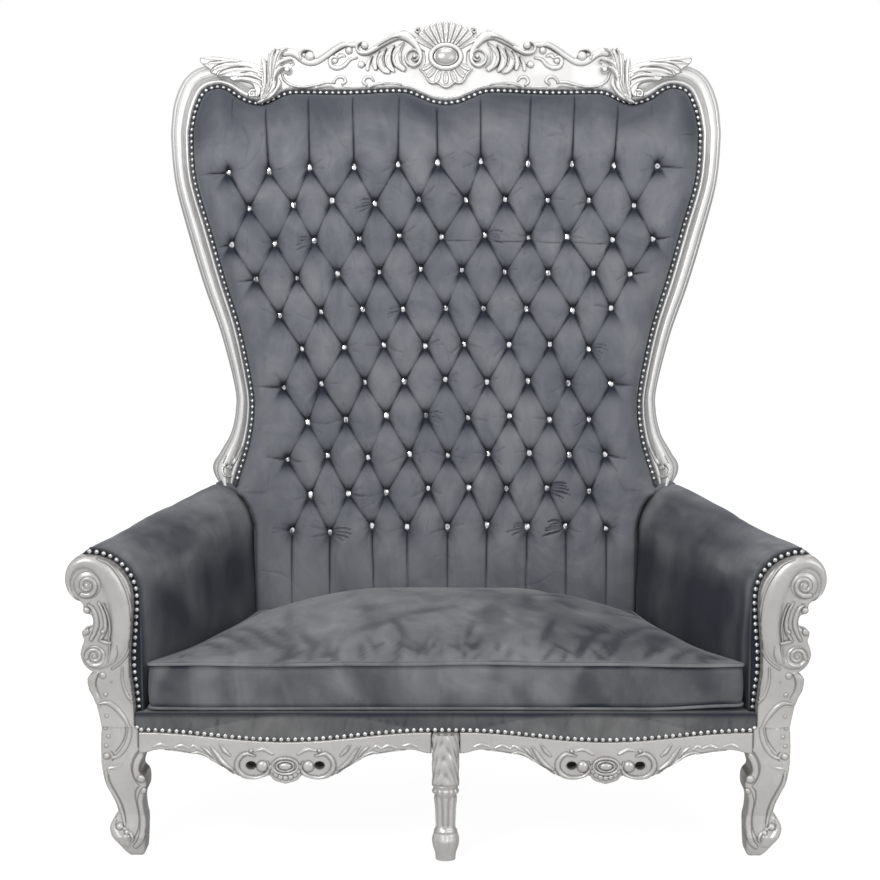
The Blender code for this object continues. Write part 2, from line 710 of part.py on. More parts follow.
def back_pad():
    """Deep buttoned pad: each diamond is a pillow between the folds that join its buttons."""
    outline = pad_outline()
    buttons = button_places(outline)
    folds = [
        (a, b) for a in buttons for b in buttons if b[2] == a[2] + 1 and abs(b[3] - a[3]) == 1
    ]
    fold_height = blend(PAD_FLOOR, PAD_FLOOR + PAD_PILLOW, FOLD_SHARE)
    interior = []
    index_of = {}
    creases = []

    def add(x, z, height):
        interior.append((x, z, height))
        return len(interior) - 1

    for button in buttons:
        index_of[button] = add(button[0], button[1], PAD_FLOOR)
    for a, b in folds:
        middle = add((a[0] + b[0]) / 2, (a[1] + b[1]) / 2, fold_height)
        creases += [(index_of[a], middle), (middle, index_of[b])]
    rim = offset_line(outline, -NAIL_BAND, closed=True)
    for here, after in zip(rim, rim[1:] + rim[:1]):
        parts = math.ceil(math.dist(here, after) / PAD_RIM_STEP)
        for part in range(parts):
            add(blend(here[0], after[0], part / parts), blend(here[1], after[1], part / parts), PAD_RIM)
    rows = len(BUTTON_REACH)
    out_share, high_share = PILLOW_SHOULDER_SHARES
    taken = {(row, step) for _, _, row, step in buttons}
    for row in range(-2, rows + 4):
        for step in range(-14, 15):
            if (row, step) in taken:
                continue
            spot = lattice_spot(row, step)
            if not inside(spot, outline):
                continue
            edge = distance_to_line(spot, outline, closed=True)
            if edge < NAIL_BAND + PAD_SPARE_EDGE:
                continue
            rise = ease((edge - NAIL_BAND) / PAD_SHOULDER)
            low = ease((spot[1] - PAD_FOOT) / (buttons[-1][1] - PAD_FOOT))
            rise *= blend(PAD_FOOT_SHARE, 1.0, low)
            add(*spot, PAD_RIM + (PAD_FLOOR + PAD_PILLOW) * rise)
            if 0 < row < rows - 1 and abs(step) < BUTTON_REACH[row]:
                across = out_share * half_pitch(row) / 2
                along = out_share * BUTTON_ROW_PITCH_SHARE * PAD_TOP / 2
                shoulder = blend(fold_height, PAD_RIM + PAD_FLOOR + PAD_PILLOW, high_share)
                for right, up in ((-1, -1), (1, -1), (1, 1), (-1, 1)):
                    add(spot[0] + right * across, spot[1] + up * along, shoulder)
    velvet(relief("back_pad", outline, PAD_BACK, PAD_RIM, interior, creases, parent=back_tilt))


def nail_trim_back():
    """Nail head strip on the rim of the pad, from one arm over the top to the other."""
    top = crest_underside() + [(x, z) for x, z, _ in stile_inner()]
    line = mirrored(reversed(top[1:]), -1) + top
    line = offset_line(line, -(NAIL_BAND / 2 + GAP))
    normals = line_normals(line)
    foot = stile_inner()[-1][1] + NAIL_STRIP_WIDTH
    kept = [(spot, normal) for spot, normal in zip(line, normals) if spot[1] > foot]
    spots = [spot for spot, _ in kept]
    turned = [normal for _, normal in kept]
    trim = strip("nail_trim_back", spots, turned, NAIL_STRIP_WIDTH, NAIL_STRIP_HEIGHT,
                 y=-PAD_RIM - GAP, parent=back_tilt)
    nickel(trim)


def back_boards():
    """Rear cover, cross rail and posts of the back."""
    outline = pad_outline()
    foot = up_back(RAIL_BOTTOM)
    cover = [(x, foot if z < PAD_FOOT + GAP else z) for x, z in outline]
    front = FRAME_DEPTH - BACK_PANEL_THICKNESS
    panel = relief("back_panel", cover, BACK_PANEL_THICKNESS, 0.0, y=front, parent=back_tilt)
    velvet(panel)
    half = min(
        x - 2 * GAP for x, z, _ in stile_inner()
        if abs(z - CROSS_RAIL_UP) < CROSS_RAIL_HEIGHT * 1.5 and x > 0
    )
    beech(box("back_cross_rail", (-half, PAD_BACK + GAP, CROSS_RAIL_UP - CROSS_RAIL_HEIGHT / 2),
              (half, front - GAP, CROSS_RAIL_UP + CROSS_RAIL_HEIGHT / 2), parent=back_tilt))
    x, z, width = stile_inner()[-1]
    outer = Vector((x, z)) + line_normals(stile_inner())[-1] * width
    edge = pad_side()
    out = max(edge[-1][0], outer.x) + POST_OUT
    post = [tuple(outer), (out, outer.y), (out, foot), (edge[-1][0], foot)]
    post = offset_line(post + list(reversed(edge[:-1])), -GAP, closed=True)
    for word, side in SIDES:
        beech(relief("back_post_" + word, mirrored(post, side), FRAME_DEPTH, POST_FRONT, parent=back_tilt))


# Carving on the crest


def crest_spot(share_x, share_up):
    return (share_x * CLASP_X, PAD_TOP + share_up * CREST_RISE)


def shell():
    """Fluted fan behind the oval stone, with its shorter lobes below."""
    centre_up = PAD_TOP + CREST_RISE - SHELL_DOWN
    samples = len(SHELL_OUTLINE_SHARES) - 1
    ridge, hollow, edge = SHELL_RELIEF_SHARES
    half = []
    ridges = []
    for index, reach in enumerate(SHELL_OUTLINE_SHARES):
        angle = math.pi * index / samples
        scallop = 1 - SHELL_SCALLOP_SHARE * (index % 2)
        across = SHELL_SPREAD * reach * scallop * math.sin(angle)
        up = SHELL_RADIUS * reach * scallop * math.cos(angle)
        half.append((across, centre_up + up))
        height = ORNAMENT_THICKNESS * (hollow if index % 2 else ridge)
        for inner in SHELL_RIDGE_SHARES:
            ridges.append((inner * across, centre_up + inner * up, height))
    outline = half + mirrored(reversed(half[1:-1]), -1)
    interior = ridges + [(-x, z, h) for x, z, h in ridges if abs(x) > GAP]
    interior.append((0.0, centre_up, ORNAMENT_THICKNESS * hollow))
    fan = relief("crest_shell", outline, 0.0, ORNAMENT_THICKNESS * edge, interior,
                 y=-CREST_PROUD - GAP, parent=back_tilt)
    silver(fan)


def oval(centre, half_width, half_height, sides):
    """Points round an oval."""
    points = []
    for index in range(sides):
        angle = 2 * math.pi * index / sides
        points.append((centre[0] + half_width * math.cos(angle), centre[1] + half_height * math.sin(angle)))
    return points


def oval_dome(name, centre, half_width, half_height, height, y, parent=None):
    """Oval stone or boss with a rounded front."""
    edge, out, shoulder = DOME_SHARES
    outline = oval(centre, half_width, half_height, DOME_SIDES)
    ring = oval(centre, out * half_width, out * half_height, DOME_SIDES // 2)
    interior = [(x, z, shoulder * height) for x, z in ring] + [(*centre, height)]
    return relief(name, outline, 0.0, edge * height, interior, y=y, parent=parent)


def crest_scroll(name, side):
    """Carved scroll from beside the stone out to the clasp, with an eye at each end."""
    x, up, size = CREST_VOLUTE_SHARES
    inner = volute(crest_spot(x, up), size * CLASP_X, 1.1, math.radians(100), -1)
    x, up, size = CREST_EYE_SHARES
    outer = volute(crest_spot(x, up), size * CLASP_X, 1.0, math.radians(120), 1)
    run = smooth_line([inner[-1]] + [crest_spot(*spot) for spot in CREST_RUN_SHARES] + [outer[-1]], 2)
    path = inner + run[1:-1] + list(reversed(outer))
    thin, thick = CREST_SCROLL_SHARES
    tapers = [blend(thin, thick, math.sin(math.pi * index / (len(path) - 1))) for index in range(len(path))]
    points = [(side * px, 0.0, pz) for px, pz in path]
    silver(tube(name, points, SCROLL_RADIUS, sides=1, tapers=tapers,
                y=-CREST_PROUD - GAP - SCROLL_RADIUS * thick, parent=back_tilt))


def leaf(name, shares, corner, size, spine, side, y, thickness=ORNAMENT_THICKNESS):
    """Carved leaf: an outline of lobes with a raised spine."""
    place = [(corner[0] + a * size[0], corner[1] + b * size[1]) for a, b in shares]
    ridge = [(corner[0] + a * size[0], corner[1] + b * size[1], thickness) for a, b in spine]
    outline = mirrored(place, side)
    interior = [(side * px, pz, h) for px, pz, h in ridge]
    links = [(k, k + 1) for k in range(len(interior) - 1)]
    silver(relief(name, outline, 0.0, thickness * 0.4, interior, links, y=y, parent=back_tilt))


def crest_carving():
    shell()
    centre = (0.0, PAD_TOP + CREST_RISE - SHELL_DOWN)
    front = -CREST_PROUD - 2 * GAP - ORNAMENT_THICKNESS * SHELL_RELIEF_SHARES[0]
    silver(oval_dome("crest_cabochon", centre, CABOCHON_HALF_WIDTH, CABOCHON_HALF_HEIGHT,
                     CABOCHON_HEIGHT, front, back_tilt))
    top = PAD_TOP + CREST_RISE
    on_crest = -CREST_PROUD - GAP
    on_stile = -STILE_RELIEF - GAP
    for word, side in SIDES:
        crest_scroll("crest_scroll_" + word, side)
        leaf("crest_acanthus_" + word, ACANTHUS_SHARES, (ACANTHUS_X, top - ACANTHUS_DOWN),
             (ACANTHUS_LENGTH, ACANTHUS_BREADTH),
             [(0.12, 0.62), (0.35, 0.60), (0.60, 0.60), (0.85, 0.60)], side, on_crest,
             thickness=SCROLL_RADIUS)
        leaf("side_leaf_" + word, WING_SHARES, (WING_X, top - WING_DOWN), (WING_LENGTH, WING_BREADTH),
             [(0.10, 0.40), (0.40, 0.60), (0.70, 0.80), (0.90, 0.92)], side, on_stile)
        leaf("shoulder_leaf_" + word, CLASP_LEAF_SHARES,
             (CLASP_LEAF_X - CLASP_LEAF_WIDTH / 2, top - CLASP_LEAF_DOWN),
             (CLASP_LEAF_WIDTH, CLASP_LEAF_HEIGHT), [(0.50, 0.12), (0.50, 0.50), (0.50, 0.88)], side,
             on_stile)


# Arms


def facing_point(out_share, up_share):
    height = ARM_TOP - NAIL_BAND - SEAT_TOP
    return (ARM_FRONT_INNER_X + out_share * ARM_ROLL_OUT, SEAT_TOP + up_share * height)


def roll_arc(centre_x, radius, steps):
    """Quarter circle over the inner side of the arm's roll, from its inner face to its top."""
    points = []
    for step in range(steps + 1):
        angle = math.pi - math.pi / 2 * step / steps
        points.append((centre_x + radius * math.cos(angle), ARM_ROLL_CENTRE_HEIGHT + radius * math.sin(angle)))
    return points


def facing_outline():
    """Carved front of the arm: inner edge beside the nails, then the scrolled outer edge."""
    radius = ARM_ROLL_RADIUS - NAIL_BAND
    centre_x = ARM_FRONT_INNER_X + ARM_ROLL_RADIUS
    inner = [(ARM_FRONT_INNER_X + NAIL_BAND, SEAT_TOP)] + roll_arc(centre_x, radius, FACING_ARC_STEPS)
    outer = [facing_point(*share) for share in FACING_OUTER_SHARES]
    return inner + smooth_line(outer, 1)


def arm_facing(word, side):
    silver(relief("arm_facing_" + word, mirrored(facing_outline(), side), FACING_THICKNESS, 0.0,
                  y=FRONT_LEG_Y))
    x, up, size = FACING_VOLUTE_SHARES
    top = volute(facing_point(x, up), size * ARM_ROLL_OUT, 1.3, math.radians(150), 1)
    x, up, size = FACING_CURL_SHARES
    low = volute(facing_point(x, up), size * ARM_ROLL_OUT, 1.0, math.radians(215), -1)
    run = smooth_line([top[-1]] + [facing_point(*spot) for spot in FACING_RUN_SHARES] + [low[-1]], 2)
    path = top + run[1:-1] + list(reversed(low))
    thin, thick = FACING_SCROLL_SHARES
    last = len(path) - 1
    tapers = [blend(thin, thick, min(1.0, 2 * math.sin(math.pi * k / last))) for k in range(last + 1)]
    points = [(side * px, 0.0, pz) for px, pz in path]
    silver(tube("arm_scroll_" + word, points, SCROLL_RADIUS, sides=1, tapers=tapers,
                y=FRONT_LEG_Y - GAP - SCROLL_RADIUS * thick))


def arm_pad_section():
    """Padding round the arm: up the inner face, over the roll and back in under it."""
    out = [(0.0, SEAT_TOP), (0.0, (SEAT_TOP + ARM_ROLL_CENTRE_HEIGHT) / 2)]
    out += roll_arc(ARM_ROLL_RADIUS, ARM_ROLL_RADIUS, PAD_ARC_STEPS)
    lip = ARM_LIP_HEIGHT
    out += [(ARM_ROLL_OUT * across, blend(lip, ARM_TOP, up)) for across, up in ARM_OVER_SHARES]
    out.append((arm_lip_inner() + ARM_LIP_WIDTH, lip))
    roof = ARM_ROLL_CENTRE_HEIGHT + ARM_RAIL_HEIGHT
    inner = [
        (arm_lip_inner(), lip), (arm_lip_inner(), roof + GAP), (ARM_PAD_THICKNESS, roof + GAP),
        (ARM_PAD_THICKNESS, SEAT_TOP),
    ]
    return out + inner


def arm_lip_inner():
    """Distance out to the inner side of the padding's outer lip."""
    return SIDE_RAIL_INSET + SIDE_RAIL_THICKNESS + ARM_PANEL_THICKNESS


def arm(word, side):
    """Wood frame, padding and outer panel of one arm."""
    arm_facing(word, side)
    velvet(arm_loft("arm_pad_" + word, arm_pad_section(), side, ARM_FRONT_Y))
    near = ARM_PAD_THICKNESS + GAP
    far = arm_lip_inner() - GAP
    low = ARM_ROLL_CENTRE_HEIGHT
    high = ARM_ROLL_CENTRE_HEIGHT + ARM_RAIL_HEIGHT
    rail = [(near, low), (near, high), (far, high), (far, low)]
    beech(arm_loft("arm_rail_" + word, rail, side, ARM_FRONT_Y))
    panel_out = SIDE_RAIL_INSET + SIDE_RAIL_THICKNESS
    panel_in = panel_out - ARM_PANEL_THICKNESS
    panel = [(panel_in, SEAT_TOP), (panel_in, low - GAP), (panel_out, low - GAP), (panel_out, SEAT_TOP)]
    velvet(arm_loft("arm_panel_" + word, panel, side, ARM_FRONT_Y))
    post_x = [side * (ARM_FRONT_INNER_X + near), side * (ARM_FRONT_INNER_X + near + ARM_POST_WIDTH)]
    post_low = (min(post_x), ARM_FRONT_Y, SEAT_TOP)
    post_high = (max(post_x), ARM_FRONT_Y + ARM_POST_DEPTH, low - GAP)
    beech(box("arm_post_" + word, post_low, post_high))
    path = [(ARM_FRONT_INNER_X + NAIL_BAND / 2, SEAT_TOP)]
    path += roll_arc(ARM_FRONT_INNER_X + ARM_ROLL_RADIUS, ARM_ROLL_RADIUS - NAIL_BAND / 2, FACING_ARC_STEPS)
    path = mirrored(path, side)
    nickel(strip("nail_trim_arm_" + word, path, line_normals(path), NAIL_STRIP_WIDTH, NAIL_STRIP_HEIGHT,
                 y=ARM_FRONT_Y - GAP))


# Seat frame and legs


def apron_top(x):
    """Height of the nail line and of the carved apron's top edge across one bay."""
    start = CENTRE_LEG_HALF_WIDTH
    share = min(max((abs(x) - start) / (LEG_INNER_X - start), 0.0), 1.0)
    return APRON_TOP - APRON_DIP * math.sin(math.pi * share) ** 2


def bay():
    """Near end, middle and half length of a front bay, between the centre leg and an outer leg."""
    start = CENTRE_LEG_HALF_WIDTH + GAP
    end = LEG_INNER_X - GAP
    return start, (start + end) / 2, (end - start) / 2


def nail_line():
    """Points of the right bay's nail line, which the apron and the border above it share."""
    start, middle, half = bay()
    return [(start + 2 * half * step / 10, apron_top(start + 2 * half * step / 10)) for step in range(11)]


def apron(word, side):
    """Pierced and lobed carved board under the seat's front edge."""
    start, middle, half = bay()
    half_edge = [(share * half, APRON_TOP - drop * APRON_DROP) for share, drop in APRON_EDGE_SHARES]
    right = [(middle + x, z) for x, z in half_edge]
    left = [(middle - x, z) for x, z in reversed(half_edge[1:])]
    low = left + right
    splines = [mirrored(low + list(reversed(nail_line())), side)]
    for turn in (-1, 1):
        centre = (middle + turn * APRON_HOLE_OFFSET, APRON_TOP - APRON_HOLE_DOWN)
        hole = oval(centre, APRON_HOLE_WIDTH / 2, APRON_HOLE_HEIGHT / 2, APRON_HOLE_SIDES)
        splines.append(mirrored(hole, side))
    silver(flat_board("apron_" + word, splines, APRON_THICKNESS, APRON_FACE_Y + APRON_THICKNESS / 2))
    silver(oval_dome("apron_boss_" + word, (side * middle, APRON_TOP - APRON_HOLE_DOWN),
                     BOSS_HALF_WIDTH, BOSS_HALF_HEIGHT, BOSS_HEIGHT, APRON_FACE_Y - GAP))


def outer_front_leg(word, side):
    """Carved leg under the arm's facing."""
    rings = []
    for up, inner, outer, front, back in FRONT_LEG_SHARES:
        x0 = LEG_INNER_X + inner * LEG_WIDTH
        x1 = LEG_INNER_X + outer * LEG_WIDTH
        y0 = FRONT_LEG_Y + front * LEG_DEPTH
        y1 = FRONT_LEG_Y + back * LEG_DEPTH
        z = up * RAIL_TOP
        cut = LEG_CORNER_SHARE
        rings.append([
            (side * x0, y1, z), (side * x0, blend(y0, y1, cut), z), (side * blend(x0, x1, cut), y0, z),
            (side * blend(x1, x0, cut), y0, z), (side * x1, blend(y0, y1, cut), z), (side * x1, y1, z),
        ])
    silver(loft("front_leg_" + word, rings))


def centre_front_leg():
    """Tapering leg between the two aprons, with flats that touch them and the rail behind."""
    rings = []
    flats = math.cos(math.pi / CENTRE_LEG_SIDES)
    for up, girth in CENTRE_LEG_SHARES:
        ring = []
        for index in range(CENTRE_LEG_SIDES):
            angle = 2 * math.pi * (index + 0.5) / CENTRE_LEG_SIDES
            ring.append((girth * CENTRE_LEG_HALF_WIDTH * math.cos(angle) / flats,
                         CENTRE_LEG_Y + girth * CENTRE_LEG_HALF_DEPTH * math.sin(angle) / flats,
                         up * (APRON_TOP - GAP)))
        rings.append(ring)
    silver(loft("front_leg_centre", rings))


def rear_leg(name, x, top_proud, top_back):
    """Raked tapering leg under the back."""
    half = REAR_LEG_WIDTH / 2
    foot = half * REAR_LEG_FOOT_SHARE
    rings = []
    up = up_back(RAIL_BOTTOM)
    corners = ((-1, top_proud), (1, top_proud), (1, top_back), (-1, top_back))
    top = [back_point(x + across * half, proud, up) for across, proud in corners]
    near_y = back_y(RAIL_BOTTOM) + REAR_LEG_RAKE
    far_y = near_y + REAR_LEG_DEPTH * REAR_LEG_FOOT_SHARE
    rings.append([(x + a * foot, y, 0.0) for a, y in ((-1, near_y), (1, near_y), (1, far_y), (-1, far_y))])
    rings.append([(px, py, pz - 2 * GAP) for px, py, pz in top])
    return silver(loft(name, rings))


def rear_legs():
    back = -FRAME_DEPTH
    for word, side in SIDES:
        rear_leg("rear_leg_" + word, side * REAR_LEG_X, back + REAR_LEG_DEPTH, back)
    leg_front = REAR_RAIL_FRONT_Y + REAR_RAIL_THICKNESS - REAR_LEG_DEPTH
    half = REAR_LEG_WIDTH / 2
    foot = half * REAR_LEG_FOOT_SHARE
    z = RAIL_BOTTOM - GAP
    top = [(-half, leg_front, z), (half, leg_front, z), (half, leg_front + REAR_LEG_DEPTH, z),
           (-half, leg_front + REAR_LEG_DEPTH, z)]
    near_y = back_y(RAIL_BOTTOM) + REAR_LEG_RAKE
    far_y = near_y + REAR_LEG_DEPTH * REAR_LEG_FOOT_SHARE
    low = [(-foot, near_y, 0.0), (foot, near_y, 0.0), (foot, far_y, 0.0), (-foot, far_y, 0.0)]
    silver(loft("rear_leg_centre", [low, top]))


def seat_frame():
    """Rails, blocks, webbing, deck and lower cover."""
    half = LEG_INNER_X - GAP
    beech(box("seat_rail_front", (-half, RAIL_FRONT_Y, RAIL_BOTTOM), (half, RAIL_BACK_Y, RAIL_TOP)))
    rear_half = arm_station(*ARM_PATH_SHARES[-1][1:])[0] - 2 * GAP
    rear_back = REAR_RAIL_FRONT_Y + REAR_RAIL_THICKNESS
    beech(box("seat_rail_back", (-rear_half, REAR_RAIL_FRONT_Y, RAIL_BOTTOM), (rear_half, rear_back, RAIL_TOP)))
    near = SIDE_RAIL_INSET
    far = SIDE_RAIL_INSET + SIDE_RAIL_THICKNESS
    section = [(near, RAIL_BOTTOM), (near, RAIL_TOP), (far, RAIL_TOP), (far, RAIL_BOTTOM)]
    behind_leg = FRONT_LEG_Y + LEG_DEPTH + GAP
    for word, side in SIDES:
        beech(arm_loft("seat_rail_" + word, section, side, behind_leg, rises=False))
    wide = CENTRE_RAIL_WIDTH / 2
    beech(box("seat_rail_centre", (-wide, RAIL_BACK_Y + GAP, RAIL_BOTTOM),
              (wide, REAR_RAIL_FRONT_Y - GAP, RAIL_TOP)))
    for word, side in SIDES:
        corner = (side * half, RAIL_BACK_Y + GAP)
        along_rail = (corner[0] - side * CORNER_BLOCK_SIZE, corner[1])
        back_from_rail = (corner[0], corner[1] + CORNER_BLOCK_SIZE)
        flat = [corner, along_rail, back_from_rail]
        rings = [[(x, y, z) for x, y in flat] for z in (RAIL_BOTTOM, RAIL_TOP)]
        beech(loft("corner_block_" + word, rings))


def inner_width(y):
    """Half width between the arms' inner faces at a depth, at seat height."""
    rows = []
    for along, inward, rise_share in ARM_PATH_SHARES:
        rows.append((arm_y(along, SEAT_TOP, ARM_FRONT_Y), arm_station(inward, rise_share)[0]))
    if y <= rows[0][0]:
        return rows[0][1]
    for (y0, x0), (y1, x1) in zip(rows, rows[1:]):
        if y <= y1:
            return blend(x0, x1, (y - y0) / (y1 - y0))
    return rows[-1][1]


def slab(name, front_y, back_y_, low, high, margin, stations=8):
    """Flat sheet or pad between the arms, from a front to a back depth."""
    right = []
    for step in range(stations + 1):
        y = blend(front_y, back_y_, step / stations)
        right.append((inner_width(y) - margin, y))
    outline = right + [(-x, y) for x, y in reversed(right)]
    rings = [[(x, y, z) for x, y in outline] for z in (low, high)]
    return loft(name, rings)


def seat_surface():
    """Webbing, padded deck, dust cover and the front border."""
    web_low = RAIL_TOP + GAP
    web_high = web_low + WEBBING_THICKNESS
    front = RAIL_FRONT_Y
    back = REAR_RAIL_FRONT_Y + WEBBING_REST
    half = inner_width(back) - 4 * GAP
    outer = [(-half, front), (half, front), (half, back), (-half, back)]
    splines = [outer]
    cell_x = (2 * half - (WEBBING_COLUMNS + 1) * WEBBING_BAND) / WEBBING_COLUMNS
    cell_y = (back - front - (WEBBING_ROWS + 1) * WEBBING_BAND) / WEBBING_ROWS
    for column in range(WEBBING_COLUMNS):
        for row in range(WEBBING_ROWS):
            x0 = -half + WEBBING_BAND + column * (cell_x + WEBBING_BAND)
            y0 = front + WEBBING_BAND + row * (cell_y + WEBBING_BAND)
            splines.append([(x0, y0), (x0 + cell_x, y0), (x0 + cell_x, y0 + cell_y), (x0, y0 + cell_y)])
    webbing = flat_board("seat_webbing", splines, WEBBING_THICKNESS, 0.0)
    webbing.rotation_euler.x = 0
    webbing.location.z = (web_low + web_high) / 2
    finish(webbing, JUTE, 0.95, 0.0)
    deck_back = back_y(DECK_TOP, PAD_FLOOR + PAD_PILLOW) - GAP
    velvet(slab("seat_deck", RAIL_FRONT_Y, deck_back, web_high + GAP, DECK_TOP, 2 * GAP))
    cover = slab("dust_cover", RAIL_BACK_Y - RAIL_THICKNESS / 2, REAR_RAIL_FRONT_Y + DUST_COVER_REST,
                 RAIL_BOTTOM - GAP - DUST_COVER_THICKNESS, RAIL_BOTTOM - GAP, SIDE_RAIL_INSET / 2)
    finish(cover, LINING, 0.95, 0.0)
    border_front_y = RAIL_FRONT_Y - GAP - BORDER_THICKNESS
    end = ARM_FRONT_INNER_X + NAIL_BAND - GAP
    right = [(x, z + GAP) for x, z in nail_line()]
    under = mirrored(reversed(right), -1) + right
    step_out = [(right[-1][0], SEAT_TOP), (end, SEAT_TOP)]
    outline = mirrored(reversed(step_out), -1) + under + step_out + [(end, DECK_TOP), (-end, DECK_TOP)]
    velvet(relief("front_border", outline, BORDER_THICKNESS, 0.0, y=border_front_y))
    line = [(x, z + NAIL_STRIP_WIDTH / 2) for x, z in under]
    nickel(strip("nail_trim_front", line, line_normals(line), NAIL_STRIP_WIDTH, NAIL_STRIP_HEIGHT,
                 y=border_front_y - GAP))


# Loose cushion


def cushion_spot(u, t, height):
    """Point over the cushion's plan: u from -1 to 1 across, t from 0 to 1 front to back."""
    drawn = CUSHION_DRAW * (1 - u * u)
    front = CUSHION_FRONT_Y + drawn
    y = blend(front, CUSHION_BACK_Y, t)
    half = inner_width(y) - CUSHION_SIDE_CLEARANCE - CUSHION_DRAW * 4 * t * (1 - t)
    return (u * half, y, height)


def cushion_perimeter():
    """(u, t) round the cushion's edge, starting at the front left corner."""
    ring = [(-1 + 2 * k / CUSHION_COLUMNS, 0.0) for k in range(CUSHION_COLUMNS)]
    ring += [(1.0, k / CUSHION_ROWS) for k in range(CUSHION_ROWS)]
    ring += [(1 - 2 * k / CUSHION_COLUMNS, 1.0) for k in range(CUSHION_COLUMNS)]
    ring += [(-1.0, 1 - k / CUSHION_ROWS) for k in range(CUSHION_ROWS)]
    return ring


def seat_cushion():
    """Box cushion with a crowned top, drawn in sides and a piped welt round each edge."""
    base = DECK_TOP + GAP
    edge = base + CUSHION_EDGE
    ring = cushion_perimeter()
    flat = [cushion_spot(u, t, 0.0)[:2] for u, t in ring]
    outward = [-normal for normal in line_normals(flat, closed=True)]
    bm = bmesh.new()
    seam = WELT_SEAM_SHARE * WELT_RADIUS
    levels = ((base, 0.0), (base + seam, 0.0), ((base + edge) / 2, CUSHION_PUFF), (edge - seam, 0.0))
    walls = []
    for height, puff in levels:
        walls.append([
            bm.verts.new((x + n.x * puff, y + n.y * puff, height)) for (x, y), n in zip(flat, outward)
        ])
    top = {}
    for row in range(CUSHION_ROWS + 1):
        for column in range(CUSHION_COLUMNS + 1):
            u = -1 + 2 * column / CUSHION_COLUMNS
            t = row / CUSHION_ROWS
            power = CUSHION_DOME_POWER
            dome = (1 - abs(u) ** power) * (1 - abs(2 * t - 1) ** power)
            top[column, row] = bm.verts.new(cushion_spot(u, t, edge + CUSHION_CROWN * dome**0.7))
    for row in range(CUSHION_ROWS):
        for column in range(CUSHION_COLUMNS):
            after = column + 1
            bm.faces.new((top[column, row], top[after, row], top[after, row + 1], top[column, row + 1]))
    rim = []
    for u, t in ring:
        rim.append(top[round((u + 1) / 2 * CUSHION_COLUMNS), round(t * CUSHION_ROWS)])
    walls.append(rim)
    for low, high in zip(walls, walls[1:]):
        for index in range(len(ring)):
            after = (index + 1) % len(ring)
            bm.faces.new((low[index], low[after], high[after], high[index]))
    bm.faces.new(list(reversed(walls[0])))
    velvet(mesh_object("seat_cushion", bm))
    reach = -(WELT_RADIUS + 4 * GAP)
    piping = offset_line(flat, reach, closed=True)
    for word, height in (("bottom", base + WELT_RADIUS), ("top", edge - WELT_RADIUS)):
        points = [(x, y, height) for x, y in piping]
        velvet(tube("cushion_welt_" + word, points, WELT_RADIUS, closed=True, sides=1))


clear_scene()
parts = new_collection(COLLECTION_NAME)
back_tilt = bpy.data.objects.new("back_tilt", None)
back_tilt.location = (0, BACK_FACE_Y, SEAT_LINE)
back_tilt.rotation_euler.x = -RECLINE
parts.objects.link(back_tilt)

crest_rail()
crest_carving()
back_pad()
nail_trim_back()
back_boards()
for name_part, hand in SIDES:
    back_stile("back_stile_" + name_part, hand)
    arm(name_part, hand)
    apron(name_part, hand)
    outer_front_leg(name_part, hand)
centre_front_leg()
rear_legs()
seat_frame()
seat_surface()
seat_cushion()
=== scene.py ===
import math

import bmesh
import bpy
import numpy as np
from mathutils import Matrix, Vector


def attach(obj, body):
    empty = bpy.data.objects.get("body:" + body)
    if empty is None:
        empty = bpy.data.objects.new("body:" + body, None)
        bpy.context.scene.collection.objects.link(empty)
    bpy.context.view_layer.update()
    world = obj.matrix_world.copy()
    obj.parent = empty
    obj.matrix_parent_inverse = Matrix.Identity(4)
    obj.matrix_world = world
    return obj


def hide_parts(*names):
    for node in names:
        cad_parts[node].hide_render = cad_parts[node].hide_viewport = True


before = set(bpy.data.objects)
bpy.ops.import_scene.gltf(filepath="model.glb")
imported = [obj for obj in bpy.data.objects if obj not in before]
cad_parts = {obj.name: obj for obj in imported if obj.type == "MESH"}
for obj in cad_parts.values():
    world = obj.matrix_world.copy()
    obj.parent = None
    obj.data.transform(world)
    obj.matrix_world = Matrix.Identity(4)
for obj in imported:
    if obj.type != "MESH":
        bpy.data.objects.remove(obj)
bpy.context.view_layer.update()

SIDES = (("left", -1), ("right", 1))
RECLINE = math.radians(8)
BACK_FACE_Y = 0.190
SEAT_LINE = 0.450
MM = 0.001


# Points and lines


def blend(a, b, share):
    """From a at 0 to b at 1."""
    return a + (b - a) * share


def unit(value):
    """Held between 0 and 1."""
    return np.clip(value, 0.0, 1.0)


def bell(*offsets):
    """Bell of height 1, that falls off with each offset."""
    return np.exp(-sum(offset**2 for offset in offsets))


def ease(share):
    """Slow at both ends, from 0 to 1."""
    share = unit(share)
    return share * share * (3 - 2 * share)


def smooth(points, per=8, closed=False):
    """Curve through points of any dimension, with per steps between two of them."""
    p = np.asarray(points, float)
    if closed:
        ends = np.vstack([p[-1:], p, p[:2]])
    else:
        ends = np.vstack([2 * p[:1] - p[1:2], p, 2 * p[-1:] - p[-2:-1]])
    t = (np.arange(per) / per)[:, None]
    rows = []
    for a, b, c, d in zip(ends, ends[1:], ends[2:], ends[3:]):
        rows.append(0.5 * (2 * b + (c - a) * t + (2 * a - 5 * b + 4 * c - d) * t**2 + (3 * b - a - 3 * c + d) * t**3))
    if not closed:
        rows.append(p[-1:])
    return np.vstack(rows)


def run_along(line):
    """Distance along a flat line at each of its points."""
    return np.concatenate([[0], np.cumsum(np.linalg.norm(np.diff(line[:, :2], axis=0), axis=1))])


def spaced(line, pitch):
    """Points at an even pitch along a line."""
    line = np.asarray(line, float)
    run = run_along(line)
    at = np.linspace(0, run[-1], max(int(round(run[-1] / pitch)), 1) + 1)
    return np.stack([np.interp(at, run, column) for column in line.T], axis=1)


